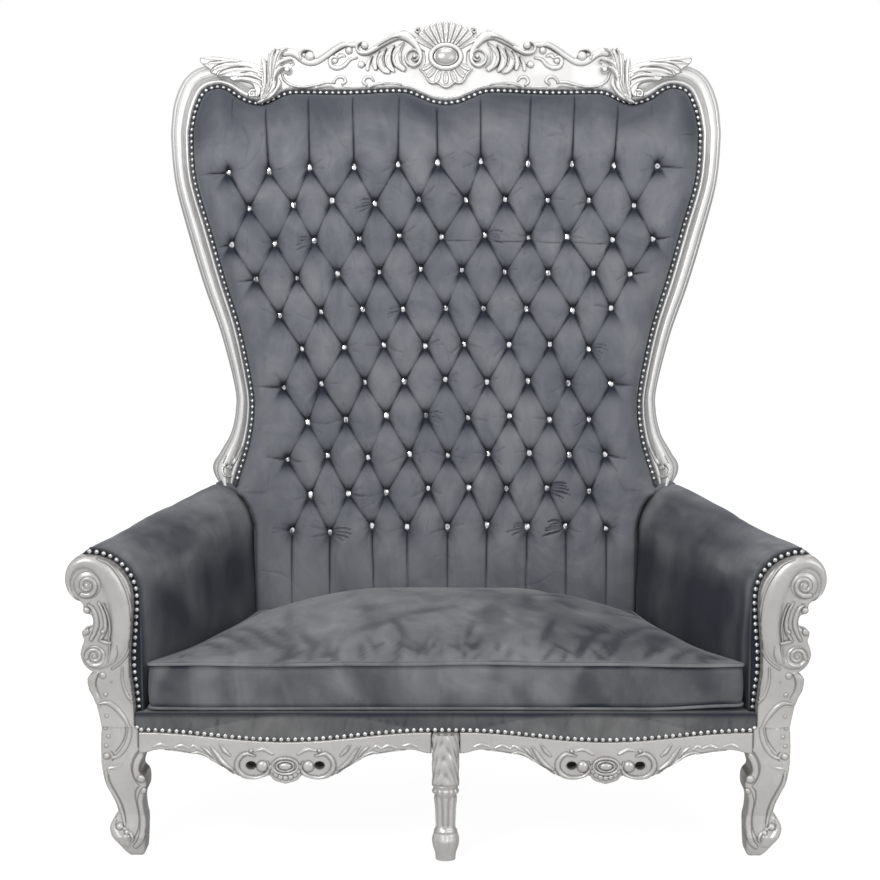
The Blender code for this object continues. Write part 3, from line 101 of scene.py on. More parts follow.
def normals_of(line):
    """Unit normals of a flat line, to the left of its direction."""
    tangent = np.gradient(np.asarray(line, float)[:, :2], axis=0)
    tangent /= np.linalg.norm(tangent, axis=1)[:, None] + 1e-12
    return np.stack([-tangent[:, 1], tangent[:, 0]], axis=1)


def on_back(x, proud, up):
    """World point of the leaning back: across, out from its face, and up it."""
    y = BACK_FACE_Y + up * math.sin(RECLINE) - proud * math.cos(RECLINE)
    z = SEAT_LINE + up * math.cos(RECLINE) + proud * math.sin(RECLINE)
    return np.stack(np.broadcast_arrays(x, y, z), axis=-1)


def off_back(ground):
    """Places a relief on the leaning back, this far out from its face."""
    return lambda x, out, z: on_back(x, ground + out, z)


def in_front(y):
    """Places a relief on an upright plane that faces the front."""
    return lambda x, out, z: np.stack(np.broadcast_arrays(x, y - out, z), axis=-1)


def up_back(z):
    return (z - SEAT_LINE) / math.cos(RECLINE)


# Meshes


def new_piece(name, verts, quads, tris, material, patina_and_shade=0.0, sharp=48):
    """A mesh object from arrays of points and faces. Its patina and painted shade darken it, for all points or each.
    """
    quads = np.asarray(quads, np.int64).reshape(-1, 4)
    tris = np.asarray(tris, np.int64).reshape(-1, 3)
    mesh = bpy.data.meshes.new(name)
    mesh.vertices.add(len(verts))
    mesh.vertices.foreach_set("co", np.ascontiguousarray(verts, np.float32).ravel())
    loops = np.concatenate([quads.ravel(), tris.ravel()]).astype(np.int32)
    mesh.loops.add(len(loops))
    mesh.loops.foreach_set("vertex_index", loops)
    starts = np.concatenate([np.arange(len(quads)) * 4, len(quads) * 4 + np.arange(len(tris)) * 3])
    mesh.polygons.add(len(starts))
    mesh.polygons.foreach_set("loop_start", starts.astype(np.int32))
    mesh.update(calc_edges=True)
    mesh.validate()
    layer = mesh.attributes.new("patina_and_shade", "FLOAT", "POINT")
    layer.data.foreach_set("value", np.broadcast_to(patina_and_shade, len(verts)).astype(np.float32))
    mesh.shade_smooth()
    mesh.set_sharp_from_angle(angle=math.radians(sharp))
    mesh.materials.append(material)
    made = bpy.data.objects.new(name, mesh)
    bpy.context.scene.collection.objects.link(made)
    return made


def turned_out(made, weld=0.0):
    """Turns a mesh's faces outward, once points nearer than weld are joined."""
    bm = bmesh.new()
    bm.from_mesh(made.data)
    if weld:
        bmesh.ops.remove_doubles(bm, verts=bm.verts, dist=weld)
    bmesh.ops.recalc_face_normals(bm, faces=bm.faces)
    bm.to_mesh(made.data)
    bm.free()
    return made


def skin(name, rings, material, patina_and_shade=0.0, sharp=48, capped=True):
    """A surface through closed rings of points, with fans over the two ends."""
    rings = np.asarray(rings, float)
    count, size = rings.shape[:2]
    index = np.arange(count * size).reshape(count, size)
    after = np.roll(index, -1, axis=1)
    quads = np.stack([index[:-1], after[:-1], after[1:], index[1:]], axis=-1)
    verts, tris, patina_and_shade = rings.reshape(-1, 3), [], np.ravel(patina_and_shade)
    if capped:
        verts = np.vstack([verts, rings[0].mean(axis=0), rings[-1].mean(axis=0)])
        tris = [(count * size, b, a) for a, b in zip(index[0], after[0])]
        tris += [(count * size + 1, a, b) for a, b in zip(index[-1], after[-1])]
        if len(patina_and_shade) > 1:
            patina_and_shade = np.concatenate([patina_and_shade, patina_and_shade[:1], patina_and_shade[-1:]])
    return turned_out(new_piece(name, verts, quads, tris, material, patina_and_shade, sharp))


def by_size(faces):
    """Faces with four corners and faces with three."""
    return (np.array([face for face in faces if len(face) == size]).reshape(-1, size) for size in (4, 3))


# Carved relief


def window(xs, zs, low, high):
    """Slices of a grid between two corners."""
    return tuple(slice(*np.searchsorted(axis, ends)) for axis, ends in zip((xs, zs), zip(low, high)))


def from_segment(x, z, a, b, tiny=0.0):
    """How far along the segment from a to b the nearest point is, and the steps from there across
    and up. tiny keeps a segment without length from failing."""
    dx, dz = b[0] - a[0], b[1] - a[1]
    px, pz = x - a[0], z - a[1]
    t = unit((px * dx + pz * dz) / (dx * dx + dz * dz + tiny))
    return t, px - t * dx, pz - t * dz


class Field:
    """Relief on a grid: how far the surface stands out, how far a point is outside, and its darkening, patina and
    painted shade.
    """

    def __init__(self, low, high, step):
        self.step = step
        self.xs, self.zs = (a + step * np.arange(int(round((b - a) / step)) + 1) for a, b in zip(low, high))
        self.x, self.z = np.meshgrid(self.xs, self.zs, indexing="ij")
        self.high, self.out, self.shade_and_patina = np.zeros(self.x.shape), np.ones(self.x.shape), np.zeros(self.x.shape)

    def window(self, low, high):
        return window(self.xs, self.zs, low, high)

    def nearest(self, line, reach):
        """Window of the grid near a line of (x, z, half width), and there the distance to the line
        and the half width at the nearest point."""
        line = np.asarray(line, float)[:, :3]
        wide = line[:, 2].max() + reach
        box = self.window(line[:, :2].min(axis=0) - wide, line[:, :2].max(axis=0) + wide)
        x, z = self.x[box], self.z[box]
        best, distance, width = np.full(x.shape, 1e3), np.full(x.shape, 1e3), np.full(x.shape, 1e-3)
        for a, b in zip(line, line[1:]):
            grow = max(a[2], b[2]) + reach
            part = window(self.xs[box[0]], self.zs[box[1]],
                          np.minimum(a, b)[:2] - grow, np.maximum(a, b)[:2] + grow)
            t, px, pz = from_segment(x[part], z[part], a, b, 1e-12)
            d = np.hypot(px, pz)
            w = np.maximum(a[2] + (b[2] - a[2]) * t, 1e-5)
            near = d - w
            better = near < best[part]
            for store, value in ((best, near), (distance, d), (width, w)):
                store[part][better] = value[better]
        return box, distance, width

    def lay(self, box, u, raised, gap, fade, edge, shade_and_patina, solid):
        """Lays a form over the grid. u is 1 at its rim and gap how far outside that a point lies. It
        clears the darkening under it, as fade says, and draws a dark line of width edge round
        itself: patina and painted shade at its foot."""
        core, span, rim = fade
        view, marks = self.high[box], self.shade_and_patina[box]
        covers = (u < 1) & (raised > view)
        view[covers] = raised[covers]
        marks[covers] *= unit((u[covers] - core) / span) ** 2
        outer = ~covers | (u > rim)
        marks[outer] = np.maximum(marks, shade_and_patina * bell(gap / edge))[outer]
        if solid:
            self.out[box] = np.minimum(self.out[box], gap)

    def stroke(self, line, high, profile="round", base=0.0, shade_and_patina=1.0, edge=0.0011, solid=True):
        """Raises a ridge along a curve."""
        box, d, w = self.nearest(smooth(line, 6), 3 * edge)
        raised = base + high * PROFILES[profile](np.minimum(d / w, 1.0))
        self.lay(box, d / w, raised, d - w, (0.55, 0.45, 0.8), edge, shade_and_patina, solid)

    def dome(self, x, z, half_x, half_z, high, base=0.0, power=1.0, shade_and_patina=1.0, solid=True):
        """An oval stone or boss."""
        box = self.window((x - 1.5 * half_x, z - 1.5 * half_z), (x + 1.5 * half_x, z + 1.5 * half_z))
        u = np.hypot((self.x[box] - x) / half_x, (self.z[box] - z) / half_z)
        raised = base + high * unit(1 - u * u) ** (0.5 * power)
        self.lay(box, u, raised, (u - 1) * min(half_x, half_z), (0.6, 0.4, 0.85), 0.0011, shade_and_patina, solid)

    def groove(self, line, deep, shade_and_patina=1.0, per=6):
        """Cuts a groove along a curve."""
        box, d, w = self.nearest(smooth(line, per), 0.0)
        shape = unit(1 - (d / w) ** 2)
        self.high[box] -= deep * shape
        # The groove darkens by its shape: patina in carving, painted shade in the velvet's creases.
        self.shade_and_patina[box] = np.maximum(self.shade_and_patina[box], shade_and_patina * shape)

    def hole(self, x, z, half_x, half_z):
        u = np.hypot((self.x - x) / half_x, (self.z - z) / half_z)
        self.out = np.maximum(self.out, (1 - u) * min(half_x, half_z))

    def polygon(self, points):
        """Distance outside a closed outline, negative inside it."""
        p = np.asarray(points, float)[:, :2]
        far = np.full(self.x.shape, 1e9)
        within = np.zeros(self.x.shape, bool)
        for a, b in zip(p, np.roll(p, -1, axis=0)):
            _, px, pz = from_segment(self.x, self.z, a, b, 1e-15)
            far = np.minimum(far, px**2 + pz**2)
            if a[1] != b[1]:
                crosses = (a[1] > self.z) != (b[1] > self.z)
                within ^= crosses & (self.x < a[0] + (self.z - a[1]) / (b[1] - a[1]) * (b[0] - a[0]))
        return np.where(within, -1.0, 1.0) * np.sqrt(far)

    def body(self, points, high, bevel=0.004, shade_and_patina=0.0):
        """A raised plate with a rounded edge."""
        out = self.polygon(points)
        raised = high * np.sqrt(1 - (1 - unit(-out / bevel)) ** 2)
        self.high = np.where(out < 0, np.maximum(self.high, raised), self.high)
        self.out = np.minimum(self.out, out)
        # A dark line along the outline: patina and painted shade at the plate's foot.
        self.shade_and_patina = np.maximum(self.shade_and_patina, shade_and_patina * bell(out / 0.0012))

    def both_sides(self):
        """The field of the left half and its mirror image, joined at x = 0."""
        whole = Field.__new__(Field)
        keep = self.xs < 0.25 * self.step
        xs = self.xs[keep]
        whole.step, whole.xs, whole.zs = self.step, np.concatenate([xs, -xs[:-1][::-1]]), self.zs
        for key in ("high", "out", "shade_and_patina"):
            half = getattr(self, key)[keep]
            setattr(whole, key, np.concatenate([half, half[:-1][::-1]]))
        whole.x, whole.z = np.meshgrid(whole.xs, whole.zs, indexing="ij")
        return whole

    def surface(self):
        """The kept points of the grid, those at its edge drawn in to the outline: their x and z, which
        they are, the faces between them and the edges of its rim."""
        keep = self.out < 0.55 * self.step
        total = int(keep.sum())
        number = -np.ones(self.x.shape, np.int64)
        number[keep] = np.arange(total)
        corners = np.stack([number[:-1, :-1], number[1:, :-1], number[1:, 1:], number[:-1, 1:]], axis=-1)
        have = (corners >= 0).sum(axis=-1)
        quads = corners[have == 4]
        tris = np.array([row[row >= 0] for row in corners[have == 3]], np.int64).reshape(-1, 3)
        edges = np.concatenate([quads[:, [k, (k + 1) % 4]] for k in range(4)]
                               + [tris[:, [k, (k + 1) % 3]] for k in range(3)])
        codes, back = edges @ (total, 1), edges @ (1, total)
        rim = edges[~np.isin(codes, back)]
        gx, gz = np.gradient(self.out, self.step)
        steep = np.maximum(np.hypot(gx, gz), 1e-6)
        move = np.zeros(total)
        at_rim = np.unique(rim)
        move[at_rim] = np.clip(self.out[keep][at_rim], -1.2 * self.step, 0.8 * self.step)
        x = self.x[keep] - move * (gx / steep)[keep]
        z = self.z[keep] - move * (gz / steep)[keep]
        before, after = np.arange(total), np.arange(total)
        after[rim[:, 0]] = rim[:, 1]
        before[rim[:, 1]] = rim[:, 0]
        (left, right), (low, high) = self.xs[[0, -1]], self.zs[[0, -1]]
        inner = (x > left + 1e-6) & (x < right - 1e-6) & (z > low + 1e-6) & (z < high - 1e-6)
        for _ in range(4):
            x, z = (np.where(inner, 0.5 * p + 0.25 * (p[before] + p[after]), p) for p in (x, z))
        used = np.unique(np.concatenate([quads.ravel(), tris.ravel()]))
        place = -np.ones(total, np.int64)
        place[used] = np.arange(len(used))
        return x[used], z[used], np.flatnonzero(keep)[used], place[quads], place[tris], place[rim]

    def build(self, name, place, back, material, side=-1, contour=0.0):
        """Closed piece with this front: place turns (x, out, z) to world points, back is how far
        behind zero it reaches, side 1 builds the mirror image of what was drawn, and contour is the
        painted shade along its edge."""
        # Darkening: fine hollows take patina in carving and painted shade in velvet folds; broad basins and the rim
        # (by contour) take painted shade.
        hollow = unit((blur(self.high, 3) - self.high) / 0.0016)
        basin = unit((blur(self.high, 16) - self.high) / 0.0045)
        edge = contour * bell(self.out / 0.0020)
        shade = unit(self.shade_and_patina + 0.40 * hollow + 0.30 * basin + edge)
        x, z, chosen, quads, tris, rim = self.surface()
        shade = shade.ravel()[chosen]
        count = len(x)
        front = place(-side * x, np.maximum(self.high.ravel()[chosen], 0.0), z)
        rear = place(-side * x, np.full(count, -back), z)
        walls = np.stack([rim[:, 1], rim[:, 0], rim[:, 0] + count, rim[:, 1] + count], axis=-1)
        # The rear is a little darker where there is contour, and its rim takes part of the front's painted edge
        # shade.
        behind = np.full(count, 0.12 if contour else 0.0)
        at_rim = np.unique(rim)
        behind[at_rim] = shade[at_rim] * contour
        return turned_out(new_piece(name, np.vstack([front, rear]),
                                    np.vstack([quads, quads[:, ::-1] + count, walls]),
                                    np.vstack([tris, tris[:, ::-1] + count]),
                                    material, np.concatenate([shade, behind])))


FINE = 0.0012


def blur(grid, rounds):
    """Repeated small average."""
    for _ in range(rounds):
        grid = np.pad(grid, 1, mode="edge")
        beside = grid[:-2, 1:-1] + grid[2:, 1:-1] + grid[1:-1, :-2] + grid[1:-1, 2:]
        grid = (beside + 4 * grid[1:-1, 1:-1]) / 8
    return grid


PROFILES = {
    "round": lambda u: np.sqrt(unit(1 - u * u)),
    "soft": lambda u: 1 - u * u,
    "flat": lambda u: ease((1 - u) / 0.35),
    "scoop": lambda u: np.where(u < 0.72, 0.42 + 0.58 * (u / 0.72) ** 2, np.sqrt(unit((1 - u) / 0.28))),
    "ridge": lambda u: 1 - 0.85 * u,
}


# Materials


class Nodes:
    """Short calls that build a node tree."""

    def __init__(self, tree):
        self.tree = tree

    def put(self, node, **values):
        """Sets or links sockets by their names, with _ for a space, or by i and their number."""
        for key, value in values.items():
            socket = node.inputs[int(key[1:]) if key[1:].isdigit() else key.replace("_", " ")]
            if isinstance(value, bpy.types.NodeSocket):
                self.tree.links.new(value, socket)
            else:
                socket.default_value = value

    def node(self, kind, settings=None, **values):
        made = self.tree.nodes.new("ShaderNode" + kind)
        for key, value in (settings or {}).items():
            setattr(made, key, value)
        self.put(made, **values)
        return made

    def noise(self, scale, detail=3.0, rough=0.55, stretch=None, twist=0.0):
        place = self.node("TexCoord").outputs["Object"]
        if stretch:
            place = self.node("Mapping", Vector=place, Scale=stretch).outputs[0]
        return self.node("TexNoise", Vector=place, Scale=scale, Detail=detail, Roughness=rough,
                         Distortion=twist).outputs[0]

    def spread(self, share, low, high, out_low=0.0, out_high=1.0):
        return self.node("MapRange", Value=share, From_Min=low, From_Max=high,
                         To_Min=out_low, To_Max=out_high).outputs[0]

    def mix(self, share, a, b):
        return self.node("Mix", {"data_type": "RGBA"}, i0=share, i6=a, i7=b).outputs[2]

    # Darkness per point: patina on the silver, painted shade on the velvet, painted reflections on the stones.
    def patina_and_shade(self):
        return self.node("Attribute", {"attribute_name": "patina_and_shade"}).outputs["Fac"]

    def math(self, kind, *values):
        inputs = {f"i{k}": value for k, value in enumerate(values)}
        return self.node("Math", {"operation": kind}, **inputs).outputs[0]

    def bump(self, height, strength, distance, **over):
        return self.node("Bump", Height=height, Strength=strength, Distance=distance, **over).outputs[0]


class Finish(Nodes):
    """A material under construction."""

    def __init__(self, name, **values):
        self.material = bpy.data.materials.new(name)
        self.material.use_nodes = True
        super().__init__(self.material.node_tree)
        self.shader = self.tree.nodes["Principled BSDF"]
        self.put(self.shader, **values)

    def shade(self, **values):
        self.put(self.shader, **values)
        return self.material


def grey(value, warm=0.0):
    return (value * (1 + warm), value, value * (1 - warm), 1.0)


def velvet_finish(name, level=1.0, blue=1.0):
    """Short dense pile, brushed lighter and darker, and painted shade in its folds and shaded places."""
    made = Finish(name, Roughness=0.88, Specular_IOR_Level=0.25, Sheen_Weight=0.26, Sheen_Roughness=0.36,
                  Sheen_Tint=(0.88, 0.92, 1.0, 1.0))
    cool = np.array([-0.062, 0.0, 0.135]) * blue
    base = (*(level * 0.137 * (1 + cool)), 1.0)
    light = (*(level * 0.248 * (1 + 0.5 * cool)), 1.0)
    # dark: the colour of the painted shade.
    dark = (*(level * np.array([0.0215, 0.0262, 0.0375])), 1.0)
    broad = made.spread(made.noise(5.5, 4.0, 0.62, twist=1.3), 0.36, 0.66)
    brushed = made.spread(made.noise(17.0, 3.0, 0.6, stretch=(1.0, 1.0, 0.45), twist=0.8), 0.34, 0.68)
    nap = made.math("MULTIPLY_ADD", broad, 0.6, made.math("MULTIPLY", brushed, 0.4))
    pile = made.bump(made.noise(1500.0, 2.0, 0.7), 0.25, 0.0006)
    return made.shade(Base_Color=made.mix(made.patina_and_shade(), made.mix(nap, base, light), dark),
                      Normal=made.bump(made.noise(70.0, 3.0, 0.6), 0.12, 0.004, Normal=pile))


def silver_finish(name, tone, shine, rough, dark, warm=0.01):
    """Silver leaf over carved wood: bright on the heights, dull grey with patina in the hollows, and painted shade
    along edges and contours.
    """
    made = Finish(name, Metallic=shine)
    leaf = made.noise(9.0, 4.0, 0.6, twist=0.5)
    spots = made.noise(160.0, 3.0, 0.65)
    plain = made.mix(made.spread(leaf, 0.36, 0.68), grey(tone * 0.86, warm), grey(tone, warm * 0.5))
    worn = made.mix(made.spread(spots, 0.55, 0.78, 0.0, 0.35), plain, grey(tone * 0.72, warm))
    patina_and_shade = made.patina_and_shade()
    pits = made.bump(spots, 0.10, 0.0008)
    return made.shade(Base_Color=made.mix(patina_and_shade, worn, grey(dark, warm)),
                      Roughness=made.spread(made.math("ADD", patina_and_shade, leaf), 0.3, 1.7, rough, rough + 0.25),
                      Normal=made.bump(made.noise(48.0, 4.0, 0.6), 0.16, 0.004, Normal=pits))


def timber_finish(name):
    made = Finish(name, Roughness=0.62)
    grain = made.noise(30.0, 4.0, 0.6, stretch=(0.25, 4.0, 4.0), twist=1.4)
    pores = made.noise(260.0, 3.0, 0.6, stretch=(0.1, 3.0, 3.0))
    colour = made.mix(made.spread(grain, 0.35, 0.68), (0.50, 0.31, 0.16, 1.0), (0.66, 0.45, 0.26, 1.0))
    colour = made.mix(made.spread(pores, 0.58, 0.75, 0.0, 0.5), colour, (0.30, 0.17, 0.08, 1.0))
    return made.shade(Base_Color=colour, Normal=made.bump(pores, 0.3, 0.001))


def cloth_finish(name, colour_a, colour_b, pitch):
    """Plain woven cloth."""
    made = Finish(name, Roughness=0.9)
    place = made.node("TexCoord").outputs["Object"]
    warp, weft = (made.node("TexWave", {"bands_direction": axis}, Vector=place, Scale=pitch,
                            Distortion=0.4).outputs[1] for axis in "XY")
    weave = made.math("MULTIPLY", warp, weft)
    return made.shade(Base_Color=made.mix(weave, colour_a, colour_b), Normal=made.bump(weave, 0.4, 0.001))


def crystal_finish():
    """Cut glass stones on a foil backing: every facet takes its own painted reflection, bright or dark."""
    made = Finish("crystal", Metallic=0.75, Roughness=0.06)
    return made.shade(Base_Color=made.mix(made.patina_and_shade(), (0.96, 0.97, 1.0, 1.0), (0.10, 0.11, 0.14, 1.0)),
                      Normal=made.bump(made.noise(260.0, 1.0), 0.05, 0.0005))


def nail_finish():
    made = Finish("nail_heads", Metallic=0.92)
    tint = made.spread(made.noise(110.0, 2.0), 0.38, 0.66)
    return made.shade(Base_Color=made.mix(tint, grey(0.46), grey(0.74)),
                      Roughness=made.spread(tint, 0.0, 1.0, 0.30, 0.17))


# Copies of one velvet, lighter or darker and cooler or warmer part by part, carry painted light and shade;
# velvet_shade is the darkest, painted shade for the arm panels, the rear, the posts and the side rails. The piping is
# a dark cord.
VELVET = velvet_finish("velvet", 1.10, 1.15)
VELVET_SHADE = velvet_finish("velvet_shade", 0.86)
VELVET_SEAT = velvet_finish("velvet_seat", 1.03, 0.5)
VELVET_BAND = velvet_finish("velvet_band", 0.94, 0.1)
VELVET_ARM = velvet_finish("velvet_arm", 0.96, 0.8)
SILVER = silver_finish("carved_silver", 0.60, 0.55, 0.27, dark=0.27, warm=0.026)
SILVER_CREST = silver_finish("carved_silver_crest", 0.94, 0.50, 0.30, dark=0.34)
TIMBER = timber_finish("frame_beech")
JUTE = cloth_finish("jute_webbing", (0.34, 0.25, 0.14, 1.0), (0.52, 0.41, 0.25, 1.0), 160.0)
LINING = cloth_finish("lining", (0.012, 0.012, 0.014, 1.0), (0.035, 0.035, 0.04, 1.0), 420.0)
CRYSTAL = crystal_finish()
NAILS = nail_finish()
PIPING = velvet_finish("velvet_piping", 0.35)


def dressed(piece, body, slot, *nodes):
    """Rides on its body and stands for these CAD nodes. The slot is not used."""
    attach(piece, body)
    if nodes:
        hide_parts(*nodes)
    return piece


def pair(field, name, place, back, finish, contour, *nodes, slot="carved_silver"):
    """The left piece of a relief and its mirror image, for the CAD nodes of each side."""
    for word, side in SIDES:
        made = field.build(name + word, place, back, finish, side, contour)
        dressed(made, "frame", slot, *(node + word for node in nodes))


# Outline of the leaning back, in metres across and up it

PAD_HALF_WIDTH = 0.626
PAD_TOP = 1.238
CREST_RISE = 0.160
STILE_WIDTH = 0.044
ARM_TOP = 0.660
SEAT_TOP = 0.2853
DECK_TOP = 0.3131
NAIL_BAND = 0.012
UNDERSIDE = [
    (0.000, 0.967), (0.050, 0.971), (0.093, 0.980), (0.175, 0.992), (0.390, 0.988), (0.585, 0.989),
    (0.640, 0.984),
]
STILE = [
    (0.695, 0.9619, 1.60), (0.735, 0.9581, 1.70), (0.790, 0.9695, 1.50), (0.842, 0.9924, 1.25),
    (0.890, 1.0000, 1.15), (0.947, 0.9860, 1.18), (0.980, 0.9441, 1.14), (0.995, 0.9022, 1.05),
    (1.000, 0.8602, 1.00), (0.987, 0.7573, 0.95), (0.930, 0.6321, 1.02), (0.874, 0.5083, 0.98),
    (0.813, 0.3844, 0.88), (0.767, 0.2440, 0.74), (0.760, 0.1792, 0.80), (0.772, 0.1169, 0.92),
    (0.794, 0.0623, 1.22), (0.813, 0.0305, 1.34), (0.828, 0.0000, 0.62),
]
STILE_FOOT = 0.2636
ARM_FRONT_INNER = 0.643
ARM_REAR_INNER = 0.4608
ARM_RADIUS = 0.103
ARM_CENTRE = 0.557
ARM_OUT = 0.140
ARM_RISE = 0.056
ARM_FRONT_Y = -0.3747
ARM_NAIL_Y = -0.3779
ARM_CORD_Y = -0.3762
FRONT_Y = -0.4
BAND_NAIL_Y = -0.4045
CORNER_NAIL = (0.6500, -0.4005, 0.2825)
APRON_Y = -0.406
HOLE_SHADE_Y = -0.3845
BOSS_Y = -0.4103
FACING_DEPTH = 0.0248
BAND_DEPTH = 0.0159
APRON_DEPTH = 0.0215
BACK_DEPTH = 0.050
FORWARD = (0.0, -1.0, 0.0)
ARM_PATH = [
    (0.00, 0.00, 0.00), (0.13, 0.03, 0.02), (0.27, 0.14, 0.08), (0.41, 0.29, 0.22), (0.66, 0.55, 0.50),
    (0.86, 0.83, 0.90), (1.00, 1.00, 1.00),
]
POST_FRONT = 0.0176
PAD_FOOT = -0.1640


def stile_line(per=8):
    """Inner edge of the right stile from the clasp down, with its width."""
    rows = [(x * PAD_HALF_WIDTH, blend(STILE_FOOT, PAD_TOP, up), w * STILE_WIDTH) for x, up, w in STILE]
    for k, drop in ((-1, 0.014), (-2, 0.006)):
        rows[k] = (rows[k][0], rows[k][1] - drop, rows[k][2])
    return smooth(rows, per)


def crest_under(per=6):
    return smooth([(x * PAD_HALF_WIDTH, z * PAD_TOP) for x, z in UNDERSIDE], per)


def arm_station(inward, rise):
    inner = blend(ARM_FRONT_INNER, ARM_REAR_INNER, inward)
    return inner, rise * ARM_RISE, blend(1.0, 0.90, inward)


def arm_end(angle):
    inner, rise, scale = arm_station(1.0, 1.0)
    height = ARM_CENTRE + ARM_RADIUS * math.sin(angle)
    height += rise * (height - SEAT_TOP) / (ARM_TOP - SEAT_TOP)
    out = ARM_RADIUS * (1 + math.cos(angle))
    return inner + out * scale, up_back(height) - POST_FRONT * math.tan(RECLINE)


def pad_right():
    """Right half of the pad's edge, from the middle of its top down to its foot."""
    side = [arm_end(math.radians(a)) for a in (135, 146, 157.5, 168, 180)]
    side.append((side[-1][0], PAD_FOOT))
    return np.vstack([crest_under(), stile_line()[:, :2], side])


def pad_outline(inset=0.0005):
    """Outline of the pad, grown or drawn in by less than a millimetre to clear what is beside it."""
    right = pad_right()
    right = right + normals_of(right) * inset
    return np.vstack([(right[::-1] * (-1, 1))[:-1], right])


# Tufted back

ROW_PITCH = 0.088
TOP_ROW = 1.036
REACH = (10, 9, 10, 9, 8, 7, 8, 7, 8, 7, 8)
HALF_PITCH = (0.052, 0.0475)


def scattered_buttons():
    """Places of the buttons: rows that arch a little and drift sideways, each a few millimetres off."""
    random = np.random.default_rng(17)
    places = {}
    for row, reach in enumerate(REACH):
        share = row / (len(REACH) - 1)
        for step in range(-reach, reach + 1, 2):
            x = step * blend(*HALF_PITCH, share) + blend(-0.011, 0.009, share) + random.normal(0, 0.0038)
            z = TOP_ROW - row * ROW_PITCH + 0.008 + 0.012 * x - 0.06 * x * x + random.normal(0, 0.0028)
            places[(row, step)] = (x, z)
    return places


BUTTONS = scattered_buttons()
SIDE_FOLDS = {2: 0.052, 3: 0.042, 6: 0.066, 8: 0.046}
GATHERS = {
    (10, 6): (-1, 1.0), (10, 4): (-1, 0.6), (10, -6): (1, 0.7), (9, 5): (1, 0.9), (1, -3): (-1, 0.45),
    (2, 2): (1, 0.5), (2, -6): (-1, 0.4), (7, -1): (1, 0.35), (5, 7): (1, 0.3), (4, -2): (-1, 0.25),
}
FOLD_REACH = 0.075


def fold_lines():
    """Folds between buttons, then the pleats above, below and beside them: ends, height gained there
    and strength at each end, which sets the crease and its painted shade."""
    random = np.random.default_rng(4)
    lines = []
    for (row, step), spot in BUTTONS.items():
        for turn in (-1, 1):
            other = BUTTONS.get((row + 1, step + turn))
            if other:
                strength = random.uniform(0.45, 1.0) if turn == 1 else random.uniform(0.10, 0.75)
                lines.append((*spot, *other, 0.0, strength, strength * random.uniform(0.5, 1.0)))
    last = len(REACH) - 1
    for (row, step), (x, up) in BUTTONS.items():
        outside = abs(step) == REACH[row]
        away = math.copysign(1.0, step)
        if row == 0 and abs(step) < REACH[0] - 1:
            top = x * 1.03 + random.normal(0, 0.004)
            lines.append((x, up, top, PAD_TOP + 0.02, 1.0, 0.55, random.uniform(0.08, 0.34)))
        if row == last:
            foot = x + random.normal(0, 0.004)
            lines.append((x, up, foot, PAD_FOOT, 0.96, random.uniform(0.15, 0.50), random.uniform(0.08, 0.40)))
        if outside and row in SIDE_FOLDS:
            far = x + away * SIDE_FOLDS[row]
            lines.append((x, up, far, up - 0.008 * away * (row - 5) / 3, 0.97, 0.85, 0.0))
        if outside and row == 0:
            lines.append((x, up, x + away * 0.075, up - 0.006, 0.97, 0.55, 0.0))
    return np.array(lines)


def patches(x, z, seed, count, sizes, area=None):
    """Smooth random patches over an area, as of brushed pile, about -1 to 1."""
    random = np.random.default_rng(seed)
    total = np.zeros(np.shape(x))
    low, high = area or ((np.min(x), np.min(z)), (np.max(x), np.max(z)))
    for _ in range(count):
        cx, cz = random.uniform(low[0], high[0]), random.uniform(low[1], high[1])
        turn, size, sign = random.uniform(0, math.pi), random.uniform(*sizes), random.choice([-1.0, 1.0])
        a = (x - cx) * math.cos(turn) + (z - cz) * math.sin(turn)
        b = (z - cz) * math.cos(turn) - (x - cx) * math.sin(turn)
        total = total + sign * bell(a / size, b / (0.45 * size))
    return np.tanh(1.2 * total)


def bent(x, z, angle, size, far, bend, ends, middle):
    """Line of (x, z, half width) that bends a little on its way."""
    return [(x, z, ends), (x + size * math.cos(angle), z + size * math.sin(angle), middle),
            (x + far * size * math.cos(angle + bend), z + far * size * math.sin(angle + bend), ends)]


def draws(random, spans, count):
    """Rows of random numbers, one from each span."""
    return [[random.uniform(*span) for span in spans] for _ in range(count)]


def fold_map(field):
    """At each point: distance to the nearest fold, its floor and strength, and the height over it."""
    best, floor, mark, over = np.full(field.x.shape, 1e3), *np.zeros((3, *field.x.shape))
    for ax, az, bx, bz, rise, mark_a, mark_b in fold_lines():
        part = field.window((min(ax, bx) - FOLD_REACH, min(az, bz) - FOLD_REACH),
                            (max(ax, bx) + FOLD_REACH, max(az, bz) + FOLD_REACH))
        t, across, up = from_segment(field.x[part], field.z[part], (ax, az), (bx, bz))
        strength = blend(mark_a, mark_b, t)
        if rise:
            depth = 0.012 + 0.030 * rise * np.sqrt(unit(t * 1.25))
        else:
            arch = np.sin(math.pi * t)
            depth = 0.012 + blend(0.0300, 0.0200, mark_a) * arch**0.55
            strength = strength * (1 - 0.5 * arch) * (1 - 0.62 * arch**1.5)
        distance = np.hypot(across, up)
        better = distance < best[part]
        for store, value in ((best, distance), (floor, depth), (mark, strength), (over, up)):
            store[part][better] = value[better]
    return best, floor, mark, over


